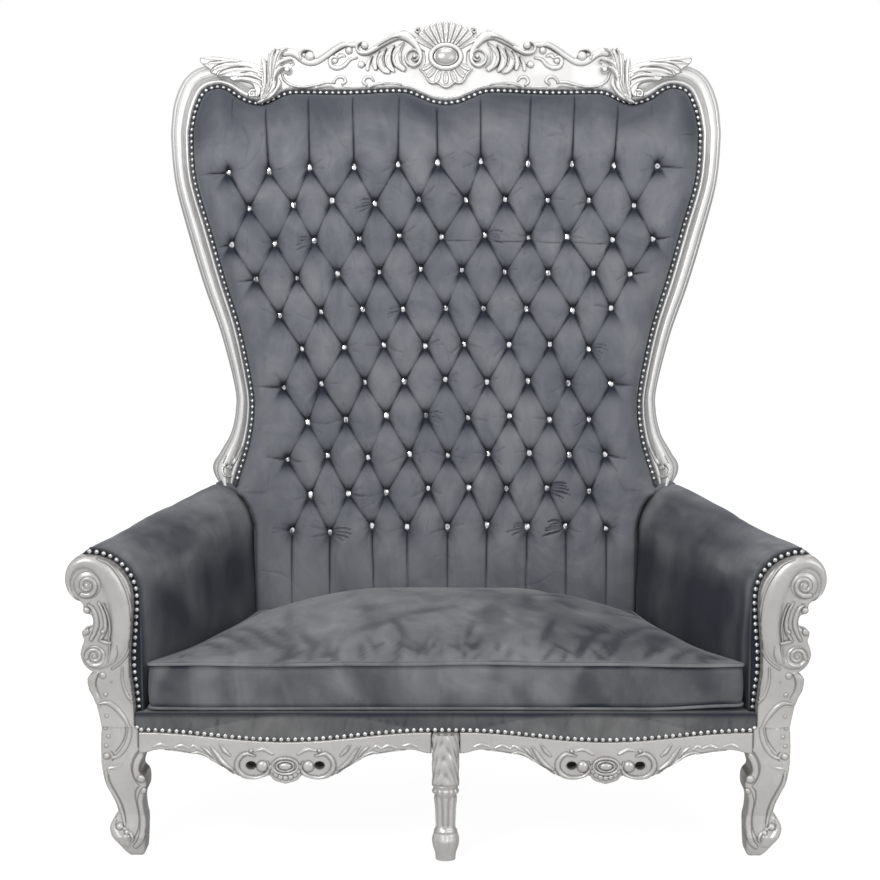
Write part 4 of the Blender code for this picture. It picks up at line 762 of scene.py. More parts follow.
def pillows(field, edge):
    """Raises the pillows between the folds and paints shade into the folds."""
    z = field.z
    best, floor, mark, over = fold_map(field)
    share = unit(best / 0.046)
    top = 0.043 - 0.004 * ease((z - TOP_ROW) / 0.12)
    pillow = floor + np.maximum(top - floor, 0.003) * (1 - (1 - share) ** 2.4) ** 0.66
    pillow -= (0.0008 + 0.0030 * mark) * bell(best / 0.0026)
    pillow += 0.0014 * mark * bell((best - 0.0058) / 0.0024) * (over < 0)
    band = NAIL_BAND * ease((z - STILE_FOOT + 0.02) / 0.02)
    shoulder = unit((edge - band) / blend(0.010, 0.042, ease((z - STILE_FOOT + 0.03) / 0.05)))
    rim = (1 - (1 - shoulder) ** 2) ** 0.6
    foot = 0.20 + 0.80 * ease((z - PAD_FOOT) / (0.156 - PAD_FOOT))
    field.high = 0.001 + pillow * rim * foot
    field.shade_and_patina = 0.70 * mark * bell(best / 0.0020) * unit((edge - 0.012) / 0.02)


def dimple(field, bx, bz, force, random):
    """Draws the velvet down at a button, with painted shade in a tent below it, a painted shadow above it, painted
    shade round it and a few creases around.
    """
    box = field.window((bx - 0.05, bz - 0.06), (bx + 0.05, bz + 0.045))
    dx, dz = field.x[box] - bx, field.z[box] - bz
    strength = random.uniform(0.60, 1.0) * force
    down = np.clip(-dz, 0, None)
    inside = ease((0.0040 + 0.60 * down - np.abs(dx)) / (0.005 + 0.30 * down) + 0.5)
    tent = inside * bell(down / random.uniform(0.022, 0.036)) * ease((0.004 - dz) / 0.006)
    over = bell(dx / 0.0075, (dz - 0.005) / 0.013)
    near = np.hypot(dx, dz)
    field.high[box] -= 0.0060 * bell(near / 0.010) + 0.0050 * strength * tent
    # Painted shade: the tent below, the shadow above and a soft ring round the button.
    painted_shade = np.maximum(strength * tent, 0.88 * over)
    ring_shade = 0.30 * bell(near / 0.026)
    field.shade_and_patina[box] = np.maximum(field.shade_and_patina[box], unit(painted_shade + ring_shade))
    for _ in range(5):
        angle = random.uniform(0, 2 * math.pi)
        size = random.uniform(0.016, 0.040)
        bend = random.uniform(-0.5, 0.5)
        start = (bx + 0.008 * math.cos(angle), bz + 0.008 * math.sin(angle))
        far = (start[0] + size * math.cos(angle + bend), start[1] + size * math.sin(angle + bend))
        mid = ((start[0] + far[0]) / 2 + 0.003 * math.sin(angle), (start[1] + far[1]) / 2)
        field.groove([(*start, 0.0030), (*mid, 0.0042), (*far, 0.0020)], random.uniform(0.0006, 0.0018), 0.0, 4)


def gather(field, bx, bz, turn, force, random):
    """Creases that fan out from a button to one side, with painted shade in them."""
    for k in range(3 + round(2 * force)):
        lift = 0.0075 * (k - 1.8) + random.normal(0, 0.0012)
        away = turn * random.uniform(0.036, 0.058) * (0.7 + 0.3 * force)
        field.groove([(bx + turn * 0.006, bz + 0.25 * lift, 0.0012),
                      (bx + 0.3 * away, bz + 0.8 * lift + 0.002, 0.0020 + 0.0020 * force),
                      (bx + 0.7 * away, bz + 1.1 * lift + 0.001, 0.0018 + 0.0018 * force),
                      (bx + away, bz + 1.2 * lift - 0.003, 0.0008)],
                     0.0012 + 0.0024 * force, random.uniform(0.35, 0.8) * (0.25 + 0.38 * force), 4)


def back_pad():
    """Deep buttoned velvet: plump pillows between sharp folds, drawn down at each button."""
    field = Field((-PAD_HALF_WIDTH - 0.01, PAD_FOOT - 0.01), (PAD_HALF_WIDTH + 0.01, PAD_TOP + 0.012),
                  0.0027)
    edge = -field.polygon(pad_outline())
    field.out = -edge
    x, z = field.x, field.z
    pillows(field, edge)
    random = np.random.default_rng(7)
    for (row, step), (bx, bz) in BUTTONS.items():
        dimple(field, bx, bz, 0.5 if row == len(REACH) - 1 else 1.0, random)
        if (row, step) in GATHERS:
            gather(field, bx, bz, *GATHERS[(row, step)], random)
    # A long crease across the back, with painted shade in it.
    crease = TOP_ROW - 2 * ROW_PITCH - 0.004
    field.groove([(-0.02, crease + 0.002, 0.0006), (0.08, crease, 0.0018), (0.20, crease - 0.002, 0.0020),
                  (0.33, crease - 0.005, 0.0018), (0.42, crease - 0.008, 0.0006)], 0.0012, 0.42, 4)
    for _ in range(70):
        cx, cz = random.uniform(-0.55, 0.55), random.uniform(0.0, 1.18)
        angle = random.normal(1.57, 0.5)
        size = random.uniform(0.02, 0.06)
        field.groove(bent(cx, cz, angle, size, 1.9, 0.25, 0.001, 0.005), random.uniform(0.0005, 0.0012), 0.0, 4)
    # Brushed pile in random patches, and painted shade: a little over the whole pad but its foot, which is left
    # lighter as painted light, more along the edges by the frame, under the crest and beside the arms.
    nap = unit(patches(x, z, 31, 110, (0.03, 0.10)))
    top_rim = ease((z - 1.05) / 0.09) * ease((0.115 - edge) / 0.09)
    foot_rim = ease((0.020 - edge) / 0.018) * ease((STILE_FOOT - z) / 0.02)
    field.shade_and_patina = np.clip(field.shade_and_patina + 0.09 * ease((z - 0.06) / 0.16) + 0.13 * nap
                        + 0.15 * ease((0.080 - edge) / 0.07) + 0.40 * top_rim + 0.25 * foot_rim, 0, 1)

    def place(px, out, pz):
        sag = 0.16 * np.clip(out, 0, None) * ease((pz - PAD_FOOT) / 0.1) * ease((PAD_TOP - pz) / 0.12)
        return on_back(px, out, pz - sag)

    made = field.build("back_tufting", place, 0.0145, VELVET)
    dressed(made, "frame", "velvet", "back_pad")
    return field


STONE_SIZE = 0.0108
# Painted reflections: the values a facet may take, from bright to dark, and their chances for the lower facets (True)
# and the upper ones (False).
STONE_VALUES = (0.0, 0.05, 0.2, 0.55, 0.9)
STONE_CHANCES = {True: (0.10, 0.10, 0.15, 0.25, 0.40), False: (0.46, 0.16, 0.10, 0.14, 0.14)}


def domed_points(tip, rings, around):
    """A point on the axis at height tip, and rings of points: radius, height and turn of each."""
    points = [(0.0, 0.0, tip)]
    for radius, height, turn in rings:
        for k in range(around):
            angle = 2 * math.pi * (k + turn) / around
            points.append((radius * math.cos(angle), radius * math.sin(angle), height))
    return points


def facet_stone():
    """Cut stone: points and faces of a low faceted dome of unit radius."""
    points = domed_points(0.62, ((0.52, 0.55, 0.0), (1.0, 0.14, 0.5), (0.96, -0.35, 0.5)), 8)
    faces = [(0, 1 + k, 1 + (k + 1) % 8) for k in range(8)]
    for k in range(8):
        a, b = 1 + k, 1 + (k + 1) % 8
        c, d = 9 + k, 9 + (k - 1) % 8
        faces += [(a, c, b), (a, d, c), (c, 17 + k, 17 + (k + 1) % 8, 9 + (k + 1) % 8)]
    return points, faces


def crystals(field):
    """One cut stone in every button, each facet painted bright or dark as a reflection, mostly bright above and dark
    below.
    """
    points, faces = facet_stone()
    random = np.random.default_rng(11)
    verts, tris, values = [], [], []
    for bx, bz in BUTTONS.values():
        i, j = (int(np.clip(round((at - axis[0]) / field.step), 0, len(axis) - 1))
                for at, axis in ((bx, field.xs), (bz, field.zs)))
        out = field.high[i, j] + 0.0080
        turn = random.uniform(0, 1.57)
        lean = random.normal(0, 0.10, 2)
        tall = random.uniform(1.1, 1.35)
        spun = [(math.cos(turn) * px - math.sin(turn) * pz, tall * (math.sin(turn) * px + math.cos(turn) * pz), h)
                for px, pz, h in points]
        for face in faces:
            low_side = sum(spun[k][1] for k in face) < -0.3 * len(face)
            value = random.choice(STONE_VALUES, p=STONE_CHANCES[low_side])
            corner = len(verts)
            for k in face:
                px, pz, h = spun[k]
                verts.append((bx + STONE_SIZE * px, out + STONE_SIZE * (h + lean[0] * px + lean[1] * pz),
                              bz + STONE_SIZE * pz))
                values.append(value)
            tris += [(corner, corner + k, corner + k + 1) for k in range(1, len(face) - 1)]
    verts = np.array(verts)
    verts[:, 2] -= 0.16 * (verts[:, 1] - STONE_SIZE * 0.3)
    made = new_piece("crystal_buttons", on_back(*verts.T), [], tris, CRYSTAL, values, sharp=1)
    turned_out(made, weld=1e-5).data.shade_flat()
    dressed(made, "frame", "nail_heads")


# Nail heads

NAIL_PITCH = 0.0148
NAIL_INSET = 0.0062
CORD_INSET = 0.0125
NAIL_GROUND = 0.0022
CORD_GROUND = 0.0034
NAIL_RADIUS = 0.0053


def nail_head(around=10):
    points = domed_points(1.0, ((0.50, 0.86, 0), (0.86, 0.50, 0), (1.0, 0.0, 0), (0.94, -0.35, 0)), around)
    faces = [(0, 1 + k, 1 + (k + 1) % around) for k in range(around)]
    for low in range(1, 3 * around, around):
        for k in range(around):
            after = (k + 1) % around
            faces.append((low + k, low + around + k, low + around + after, low + after))
    return points, faces


def nail_row(name, spots, facing, node):
    """Domed nail heads at world points. facing is the direction they stand out."""
    facing, across = np.asarray(facing, float), np.array([1.0, 0.0, 0.0])
    axes = np.array([across * NAIL_RADIUS, np.cross(facing, across) * NAIL_RADIUS, facing * NAIL_RADIUS * 0.78])
    points, faces = nail_head()
    head = np.asarray(points, float) @ axes
    shift = (np.arange(len(spots)) * len(head))[:, None, None]
    quads, tris = (part + shift for part in by_size(faces))
    made = new_piece(name, np.concatenate([np.asarray(spot) + head for spot in spots]), quads, tris, NAILS)
    dressed(turned_out(made), "frame", "nail_heads", node)


def cord(name, points, radius, around=6, finish=PIPING, closed=False):
    """A round cord along world points."""
    p = np.asarray(points, float)
    tangent = np.roll(p, -1, axis=0) - np.roll(p, 1, axis=0) if closed else np.gradient(p, axis=0)
    tangent /= np.linalg.norm(tangent, axis=1)[:, None]
    side = np.cross(tangent, (0.0, 0.05, 1.0) if abs(tangent[:, 2]).mean() < 0.7 else (0.0, 1.0, 0.0))
    side /= np.linalg.norm(side, axis=1)[:, None]
    up = np.cross(side, tangent)
    angles = [2 * math.pi * k / around for k in range(around)]
    rings = np.stack([p + radius * (math.cos(a) * side + math.sin(a) * up) for a in angles], axis=1)
    if closed:
        rings = np.concatenate([rings, rings[:1]])
    return skin(name, rings, finish, capped=not closed)


def back_trim():
    """Nails and the dark piping beside them, round the tufted back."""
    right = np.vstack([crest_under(), stile_line()[:, :2]])
    normal = normals_of(right)
    lines = (right - normal * inset for inset in (NAIL_INSET, CORD_INSET))
    nails, dark = (np.vstack([line[::-1] * (-1, 1), line[1:]]) for line in lines)
    foot = STILE_FOOT + 0.004
    nails = spaced(nails, NAIL_PITCH)
    nails = nails[nails[:, 1] > foot]
    nail_row("nails_back", on_back(nails[:, 0], NAIL_GROUND, nails[:, 1]),
             (0.0, -math.cos(RECLINE), math.sin(RECLINE)), "nail_trim_back")
    dark = spaced(dark[dark[:, 1] > foot], 0.008)
    dressed(cord("piping_back", on_back(dark[:, 0], CORD_GROUND, dark[:, 1]), 0.0021), "frame", "velvet")


# Moulded sides of the back

STILE_TOP_X = 0.4348
STILE_RELIEF = 0.016
MOULDING = [
    (0.00, 0.20), (0.03, 0.42), (0.07, 0.56), (0.12, 0.60), (0.17, 0.52), (0.20, 0.34), (0.23, 0.24),
    (0.27, 0.26), (0.30, 0.48), (0.35, 0.74), (0.43, 0.94), (0.52, 1.02), (0.61, 0.98), (0.69, 0.84),
    (0.75, 0.64), (0.78, 0.50), (0.81, 0.46), (0.85, 0.50), (0.91, 0.42), (0.96, 0.22), (1.00, 0.00),
]
STILE_CURLS = [
    ("round", 5, [(0.07, 0.352, 2.0), (0.15, 0.335, 3.2), (0.23, 0.318, 4.4), (0.27, 0.308, 4.0)]),
    ("ball", 6, (0.32, 0.297, 6.2)),
    ("round", 5, [(0.45, 0.304, 2.0), (0.54, 0.292, 2.8), (0.50, 0.281, 3.0), (0.34, 0.2765, 3.0),
                  (0.12, 0.281, 2.2)]),
    ("round", 4, [(0.64, 0.322, 1.5), (0.66, 0.304, 2.6), (0.68, 0.288, 3.0), (0.60, 0.272, 2.2)]),
]


def stile_patina_and_shade(across, z):
    """Patina in the grooves beside the bead, painted shade on the outer edge and beside the nails, and painted shade
    over the lower part.
    """
    return min(1.0, 0.11 + 0.74 * bell((across - 0.235) / 0.040)
               + 0.72 * bell((across - 0.785) / 0.030) + 0.52 * float(ease((across - 0.80) / 0.08))
               + 0.5 * bell(across / 0.03) + 0.26 * float(ease((1.16 - z) / 0.25)))


def back_stiles():
    line = stile_line(10)
    normal = normals_of(line)
    section = smooth(MOULDING, 3)
    run = run_along(line)
    ends = unit((run[-1] - run) / 0.10)
    for word, side in SIDES:
        rings, shade_and_patina = [], []
        for k, (x, z, width) in enumerate(line):
            nx, nz = normal[k]
            swell = 1.0 + 0.25 * (1 - ends[k])
            rows = [(across, high * STILE_RELIEF * swell) for across, high in section]
            ring = [on_back(side * x, -BACK_DEPTH, z)]
            for across, out in rows + [(1.0, -BACK_DEPTH)]:
                px = x + nx * across * width if k else STILE_TOP_X
                ring.append(on_back(side * px, out, z + nz * across * width))
            rings.append(ring)
            shade_and_patina.append([0.0, *(stile_patina_and_shade(across, z) for across, _ in rows), 0.4])
        dressed(skin("stile_" + word, rings, SILVER_CREST, shade_and_patina), "frame", "carved_silver", "back_stile_" + word)

    def drawn(points):
        rows = []
        for across, up, half in points:
            k = int(np.argmin(np.abs(line[:, 1] - up)))
            x, _, width = line[k]
            rows.append((-(x + normal[k, 0] * across * width), up + normal[k, 1] * across * width, half * MM))
        return np.array(rows)

    def on_stile(px, out, pz):
        px, pz = np.asarray(px, float), np.asarray(pz, float)
        gap = np.hypot(line[:, 0] - np.abs(px)[..., None], line[:, 1] - pz[..., None])
        k = np.argmin(gap, axis=-1)
        across = ((np.abs(px) - line[k, 0]) * normal[k, 0] + (pz - line[k, 1]) * normal[k, 1]) / line[k, 2]
        return on_back(px, np.interp(across, *section.T) * STILE_RELIEF * 1.25 - 0.0015 + out, pz)

    field = Field((-0.540, 0.235), (-0.425, 0.375), FINE)
    carve(field, drawn, 0.0010, STILE_CURLS)
    pair(field, "stile_curls_", on_stile, 0.0, SILVER_CREST, 0.5)


# Arms


ARM_FOLDS = ((0.06, 0.95), (0, 1), (0.02, 0.05), (-0.5, 0.5), (0.0004, 0.0012))
ARM_CREASES = ((0.30, 0.78), (-0.5, 0.5), (0.08, 0.24), (0.012, 0.022), (0.0012, 0.0036))
ARM_INSIDE = np.array([(0.0975, 0.5435), (0.0975, 0.6013), (0.034, 0.6013), (0.034, SEAT_TOP)])


def arm_section():
    """Outside of the padding: distance out from the inner face and height, from the seat up the
    inner face, over the roll, to the outer lip."""
    out = [(0.0, SEAT_TOP), (-0.004, 0.36), (-0.005, 0.43), (-0.002, 0.50)]
    for k in range(9):
        angle = math.pi - math.pi / 2 * k / 8
        out.append((ARM_RADIUS + ARM_RADIUS * math.cos(angle), ARM_CENTRE + ARM_RADIUS * math.sin(angle)))
    out += [(ARM_OUT * 0.93, 0.643), (ARM_OUT * 0.985, 0.625), (ARM_OUT, 0.604), (ARM_OUT * 0.985, 0.584),
            (ARM_OUT * 0.93, 0.566), (0.1145, 0.5435)]
    return smooth(out, 5)


def arm_point(side, station, out, height):
    along, inward, rise = station
    inner, lift, scale = arm_station(inward, rise)
    z = height + lift * (height - SEAT_TOP) / (ARM_TOP - SEAT_TOP)
    back = BACK_FACE_Y + (z - SEAT_LINE) * math.tan(RECLINE) - (POST_FRONT + 0.0003) / math.cos(RECLINE)
    x = side * (inner + out * scale)
    return np.stack(np.broadcast_arrays(x, blend(ARM_FRONT_Y, back, along), z), axis=-1)


def arm_dent(along, turn, folds, creases):
    """Depth of the folds, and of the creases that run back from the front, round one section."""
    dent = np.zeros(len(turn))
    for place, around, size, slope, deep in folds:
        gap = (along - place - slope * (turn - around)) / size
        dent += deep * bell(gap, (turn - around) / 0.22)
    for around, lean, size, wide, deep in creases:
        gap = (turn - around - lean * along) / wide
        dent += deep * bell(gap) * ease((size - along) / size)
    return dent


def arm_shade_and_nap(along, turn, outer, dent, ends, seed):
    # Painted shade: in the folds, at both ends, over the inner half and more on the inner face towards the back; with
    # brushed pile in random patches.
    across, up = outer.T
    shade = np.clip(0.16 * dent / 0.002, 0, 0.34) + 0.65 * (1 - ends) ** 2
    reach, deep_in, area = 0.74 * turn, 0.55 * along + 0.15 * turn, ((0.0, 0.0), (0.74, 0.70))
    nap = patches(reach, deep_in, seed, 46, (0.05, 0.15), area)
    nap = nap + 0.5 * patches(reach, deep_in, seed + 20, 170, (0.02, 0.06), area)
    facing_in = ease((0.060 - across) / 0.055) * ease((0.60 - up) / 0.10)
    facing_in = facing_in * (0.34 + 0.28 * along + 0.12 * ease((up - 0.36) / 0.14))
    shade = np.clip(shade + 0.08 + 0.24 * nap + 0.26 * ease((0.125 - across) / 0.08) + facing_in, 0, 0.97)
    return np.concatenate([shade, np.zeros(len(ARM_INSIDE))])


def arm_padding(side, stations, folds, creases):
    """Rings of points along an arm, and their painted shade."""
    outer = arm_section()
    turn = np.linspace(0, 1, len(outer))
    normal = normals_of(outer)
    rings, shade_and_patina = [], []
    for station in stations:
        along = station[0]
        dent = arm_dent(along, turn, folds, creases)
        puff = 0.0032 * np.sin(3.1 * along * math.pi + 4 * turn) * np.sin(math.pi * turn)
        if side > 0:
            puff = puff - 0.0075 * bell((along - 0.46) / 0.17) * ease((turn - 0.25) / 0.2)
        ends = min(1.0, along / 0.05, (1 - along) / 0.05)
        tuck = -0.0035 * (1 - ends) ** 2
        push = (puff * ends - dent * ends + tuck) * unit(np.minimum(turn, 1 - turn) / 0.06)
        spot = outer + normal * push[:, None]
        swell = math.sin(math.pi * min(along, 1.0)) * bell((outer[:, 1] - 0.425) / 0.085)
        spot[:, 0] -= 0.010 * swell * (outer[:, 0] < 0.05)
        rings.append(arm_point(side, station, *np.vstack([spot, ARM_INSIDE]).T))
        shade_and_patina.append(arm_shade_and_nap(along, turn, outer, dent, ends, 40 + side))
    return rings, shade_and_patina


def arms():
    """Velvet over each arm, and over the panel below its roll."""
    stations = smooth(ARM_PATH, 9)
    stations[:, 0] = unit(stations[:, 0])
    heights = np.linspace(SEAT_TOP, ARM_CENTRE - 0.0003, 9)
    swell = 0.003 * np.sin(math.pi * (heights - SEAT_TOP) / (ARM_CENTRE - SEAT_TOP))
    outs = np.concatenate([0.0875 + swell, np.full(9, 0.0776)])
    zs = np.concatenate([heights, heights[::-1]])
    random = np.random.default_rng(5)
    for word, side in SIDES:
        folds, creases = draws(random, ARM_FOLDS, 22), draws(random, ARM_CREASES, 9)
        rings, shade_and_patina = arm_padding(side, stations, folds, creases)
        made = skin("arm_padding_" + word, rings, VELVET_ARM, shade_and_patina, sharp=60)
        dressed(made, "frame", "velvet", "arm_pad_" + word)
        # The outer panel under the roll takes the darker velvet copy, painted shade.
        panel = skin("arm_cover_" + word, [arm_point(side, station, outs, zs) for station in stations],
                     VELVET_SHADE, sharp=60)
        dressed(panel, "frame", "velvet", "arm_panel_" + word)


FACING_WAIST = ((0.33, 0.0), (0.37, 0.0045), (0.40, 0.0085), (0.44, 0.0080), (0.48, 0.0045), (0.54, 0.0))


def roll_line(inset, start=SEAT_TOP):
    """Line round the arm's front inside its edge by inset, from the seat up and over the roll. The trim
    draws in where the facing is narrow."""
    radius = ARM_RADIUS - inset
    zs = np.linspace(start, ARM_CENTRE, 24)[:-1]
    waist = np.interp(zs, *np.transpose(FACING_WAIST)) * (inset > 0)
    rows = [(ARM_FRONT_INNER + inset + more, z) for z, more in zip(zs, waist)]
    for k in range(13):
        angle = math.pi - math.pi / 2 * k / 12
        rows.append((ARM_FRONT_INNER + ARM_RADIUS + radius * math.cos(angle), ARM_CENTRE + radius * math.sin(angle)))
    return np.array(rows)


def arm_trim():
    """Nails and piping round the front of each arm."""
    nails, dark = spaced(roll_line(0.0058, SEAT_TOP + 0.006), NAIL_PITCH), spaced(roll_line(-0.0012), 0.01)
    for word, side in SIDES:
        nail_row("nails_arm_" + word, [(side * x, ARM_NAIL_Y, z) for x, z in nails], FORWARD,
                 "nail_trim_arm_" + word)
        dressed(cord("piping_arm_" + word, [(side * x, ARM_CORD_Y, z) for x, z in dark], 0.0022), "frame", "velvet")


# Seat

LEG_INNER_X = 0.646
BAY_START = 0.029
BAND_END = 0.6547


def inner_width(y):
    rows = [(blend(ARM_FRONT_Y, 0.149, along), arm_station(inward, rise)[0]) for along, inward, rise in ARM_PATH]
    return float(np.interp(y, [row[0] for row in rows], [row[1] for row in rows]))


def nail_height(x):
    """Height of the front nail line."""
    share = unit((np.abs(x) - BAY_START) / (LEG_INNER_X - BAY_START))
    return 0.2735 - 0.021 * np.sin(math.pi * share) ** 2


def front_border():
    """Padded velvet band between the cushion and the front nails, and these nails."""
    xs = np.linspace(-BAND_END, BAND_END, 90)
    low = [(x, float(nail_height(x)) + 0.0004 if abs(x) < LEG_INNER_X - 0.0003 else SEAT_TOP) for x in xs]
    field = Field((-0.66, 0.245), (0.66, 0.318), 0.004)
    field.out = field.polygon(low + [(BAND_END, DECK_TOP), (-BAND_END, DECK_TOP)])
    depth = unit(-field.out / 0.014)
    field.high = 0.0005 + 0.0030 * np.sqrt(1 - (1 - depth) ** 2)
    random = np.random.default_rng(3)
    for _ in range(46):
        cx = random.uniform(-0.64, 0.64)
        line = [(cx, 0.252, 0.003), (cx + random.uniform(-0.012, 0.012), 0.285, 0.006),
                (cx + random.uniform(-0.02, 0.02), 0.315, 0.003)]
        field.groove(line, random.uniform(0.0004, 0.0014), 0.0, 5)
    # Painted shade over the band, darkest just under the cushion, lighter under the arc of each bay as a painted
    # highlight on its bulge; the patches are brushed pile.
    bulge = 0.289 + 0.022 * (1 - ((np.abs(field.x) - 0.29) / 0.18) ** 2)
    lit = ease((bulge - field.z) / 0.004 + 0.5)
    field.shade_and_patina = np.clip(0.42 + 0.14 * patches(field.x, field.z * 3, 14, 40, (0.05, 0.2))
                        - 0.20 * lit + 0.6 * ease((field.z - 0.300) / 0.012), 0, 0.97)
    field.high += 0.0012 * lit * (depth > 0.3)
    made = field.build("front_band", in_front(FRONT_Y), BAND_DEPTH, VELVET_BAND)
    dressed(made, "frame", "velvet", "front_border")
    nails = spaced([(x, float(nail_height(x)) + 0.005) for x in np.linspace(-0.640, 0.640, 160)], NAIL_PITCH)
    spots = [(x, BAND_NAIL_Y, z) for x, z in nails]
    spots += [(side * CORNER_NAIL[0], *CORNER_NAIL[1:]) for _, side in SIDES]
    nail_row("nails_front", spots, FORWARD, "nail_trim_front")


CUSHION_FRONT = -0.385
CUSHION_BACK = 0.148
CUSHION_CENTRE = np.array([0.0, (CUSHION_FRONT + CUSHION_BACK) / 2])
CUSHION_BASE = 0.3134
CUSHION_EDGE = 0.105
CUSHION_CROWN = 0.088
# Painted shade in rings beside the piped seams, by height up the wall.
WELT_SHADE = {0.004: 0.3, 0.009: 0.55, 0.096: 0.55, 0.101: 0.3}
FRONT_FOLDS = [
    (-0.50, -0.285, -0.9, 0.055, 0.0045), (-0.455, -0.265, -0.95, 0.065, 0.0055),
    (-0.41, -0.25, -1.0, 0.060, 0.0045), (-0.355, -0.27, -1.05, 0.050, 0.0040),
    (-0.30, -0.30, -1.1, 0.040, 0.0035), (-0.10, -0.27, -1.2, 0.045, 0.0035),
    (0.05, -0.29, -1.8, 0.040, 0.0030), (0.22, -0.28, -1.9, 0.050, 0.0038), (0.33, -0.27, -2.1, 0.055, 0.0045),
    (0.40, -0.25, -2.15, 0.060, 0.0045), (0.47, -0.27, -2.2, 0.055, 0.0045), (0.53, -0.30, -2.3, 0.045, 0.0035),
    (0.36, -0.33, -2.0, 0.035, 0.0050), (0.44, -0.335, -2.1, 0.035, 0.0055),
    (0.50, -0.345, -2.2, 0.030, 0.0050), (0.56, -0.345, -2.3, 0.028, 0.0045),
    (0.585, -0.32, -2.5, 0.030, 0.0040), (0.29, -0.345, -1.9, 0.026, 0.0040),
    (0.49, -0.16, -2.5, 0.055, 0.0045), (0.42, -0.10, -2.6, 0.060, 0.0040),
]


def cushion_plan(u, t):
    """Plan of the loose cushion: u across from -1 to 1, t from front to back."""
    y = blend(CUSHION_FRONT + 0.007 * (1 - u * u), CUSHION_BACK, t)
    return u * (inner_width(y) - 0.016 - 0.028 * t * (1 - t)), y


def cushion_ring(count_u, count_t):
    """Closed outline of the cushion with rounded corners."""
    us = np.linspace(-1, 1, count_u + 1)[:-1]
    ts = np.linspace(0, 1, count_t + 1)[:-1]
    ring = [cushion_plan(u, 0.0) for u in us] + [cushion_plan(1.0, t) for t in ts]
    ring = np.array(ring + [cushion_plan(-u, 1.0) for u in us] + [cushion_plan(-1.0, 1 - t) for t in ts])
    for _ in range(3):
        ring = (np.roll(ring, 1, axis=0) + 2 * ring + np.roll(ring, -1, axis=0)) / 4
    return ring


def cushion_drop(x, y):
    """How far the cushion's top edge sinks beside the arms."""
    along = unit((y - CUSHION_FRONT) / (CUSHION_BACK - CUSHION_FRONT))
    return 0.024 * np.sin(math.pi * along) ** 0.8 * ease((np.abs(x) / cushion_half(y) - 0.80) / 0.2)


def cushion_wave(x):
    """Waver of the top seam."""
    return 0.0014 * np.sin(8.0 * x + 0.8) + 0.0009 * np.sin(21.0 * x)


def wall_height(ring, high):
    """Height round the cushion: the top edge wavers and sinks beside the arms, and the bottom one
    lifts off the seat at the ends."""
    x, y = ring.T
    lift = 0.0095 * ease((x - 0.42) / 0.20) + 0.0020 * ease((-x - 0.50) / 0.14)
    share = high / CUSHION_EDGE
    return CUSHION_BASE + high + (cushion_wave(x) - cushion_drop(x, y)) * share + lift * (1 - share)


def cushion_half(y):
    ys = np.linspace(CUSHION_FRONT, CUSHION_BACK, 20)
    return np.interp(y, ys, [cushion_plan(1.0, t)[0] for t in np.linspace(0, 1, 20)])


def cushion_dome(x, y):
    """Crown of the top: slow from the sides, quick from the front and back."""
    along = unit((y - CUSHION_FRONT) / (CUSHION_BACK - CUSHION_FRONT))
    beside = unit(1 - np.abs(x) / cushion_half(y))
    from_side = np.sin(math.pi / 2 * np.minimum(beside / 0.72, 1)) ** 1.1
    from_front = 1 - (1 - np.minimum(along / 0.62, 1)) ** 2.1
    from_back = (1 - (1 - np.minimum((1 - along) / 0.42, 1)) ** 2.5) ** 0.8
    return from_side * from_front * from_back


def cushion_wall(ring, outward, puckers):
    """Rings of the cushion's side, and their painted shade and brushed pile."""
    total = len(ring)
    index = np.arange(total)
    rings, shade_and_patina = [], []
    for high in np.concatenate([[0.0, 0.004, 0.009], np.linspace(0.018, 0.087, 9), [0.096, 0.101, 0.105]]):
        share = high / CUSHION_EDGE
        puff = 0.0065 * math.sin(math.pi * share) ** 0.7 if 0 < share < 1 else 0.0
        dent = np.zeros(total)
        for at, size, lean, deep in puckers:
            gap = (index - at - lean * (share - 0.5) + total / 2) % total - total / 2
            dent += deep * bell(gap / size) * math.sin(math.pi * share) ** 0.5
        spot = ring + outward * (puff - dent)[:, None]
        rings.append(np.column_stack([spot, wall_height(ring, high)]))
        nap = patches(spot[:, 0] + 0.5 * high, 1.2 * high, 8, 90, (0.02, 0.10), ((-0.66, 0.0), (0.66, 0.13)))
        shade_and_patina.append(np.clip(dent / 0.004, 0, 0.5) + 0.24 * unit(nap) + WELT_SHADE.get(high, 0.0))
    return rings, shade_and_patina


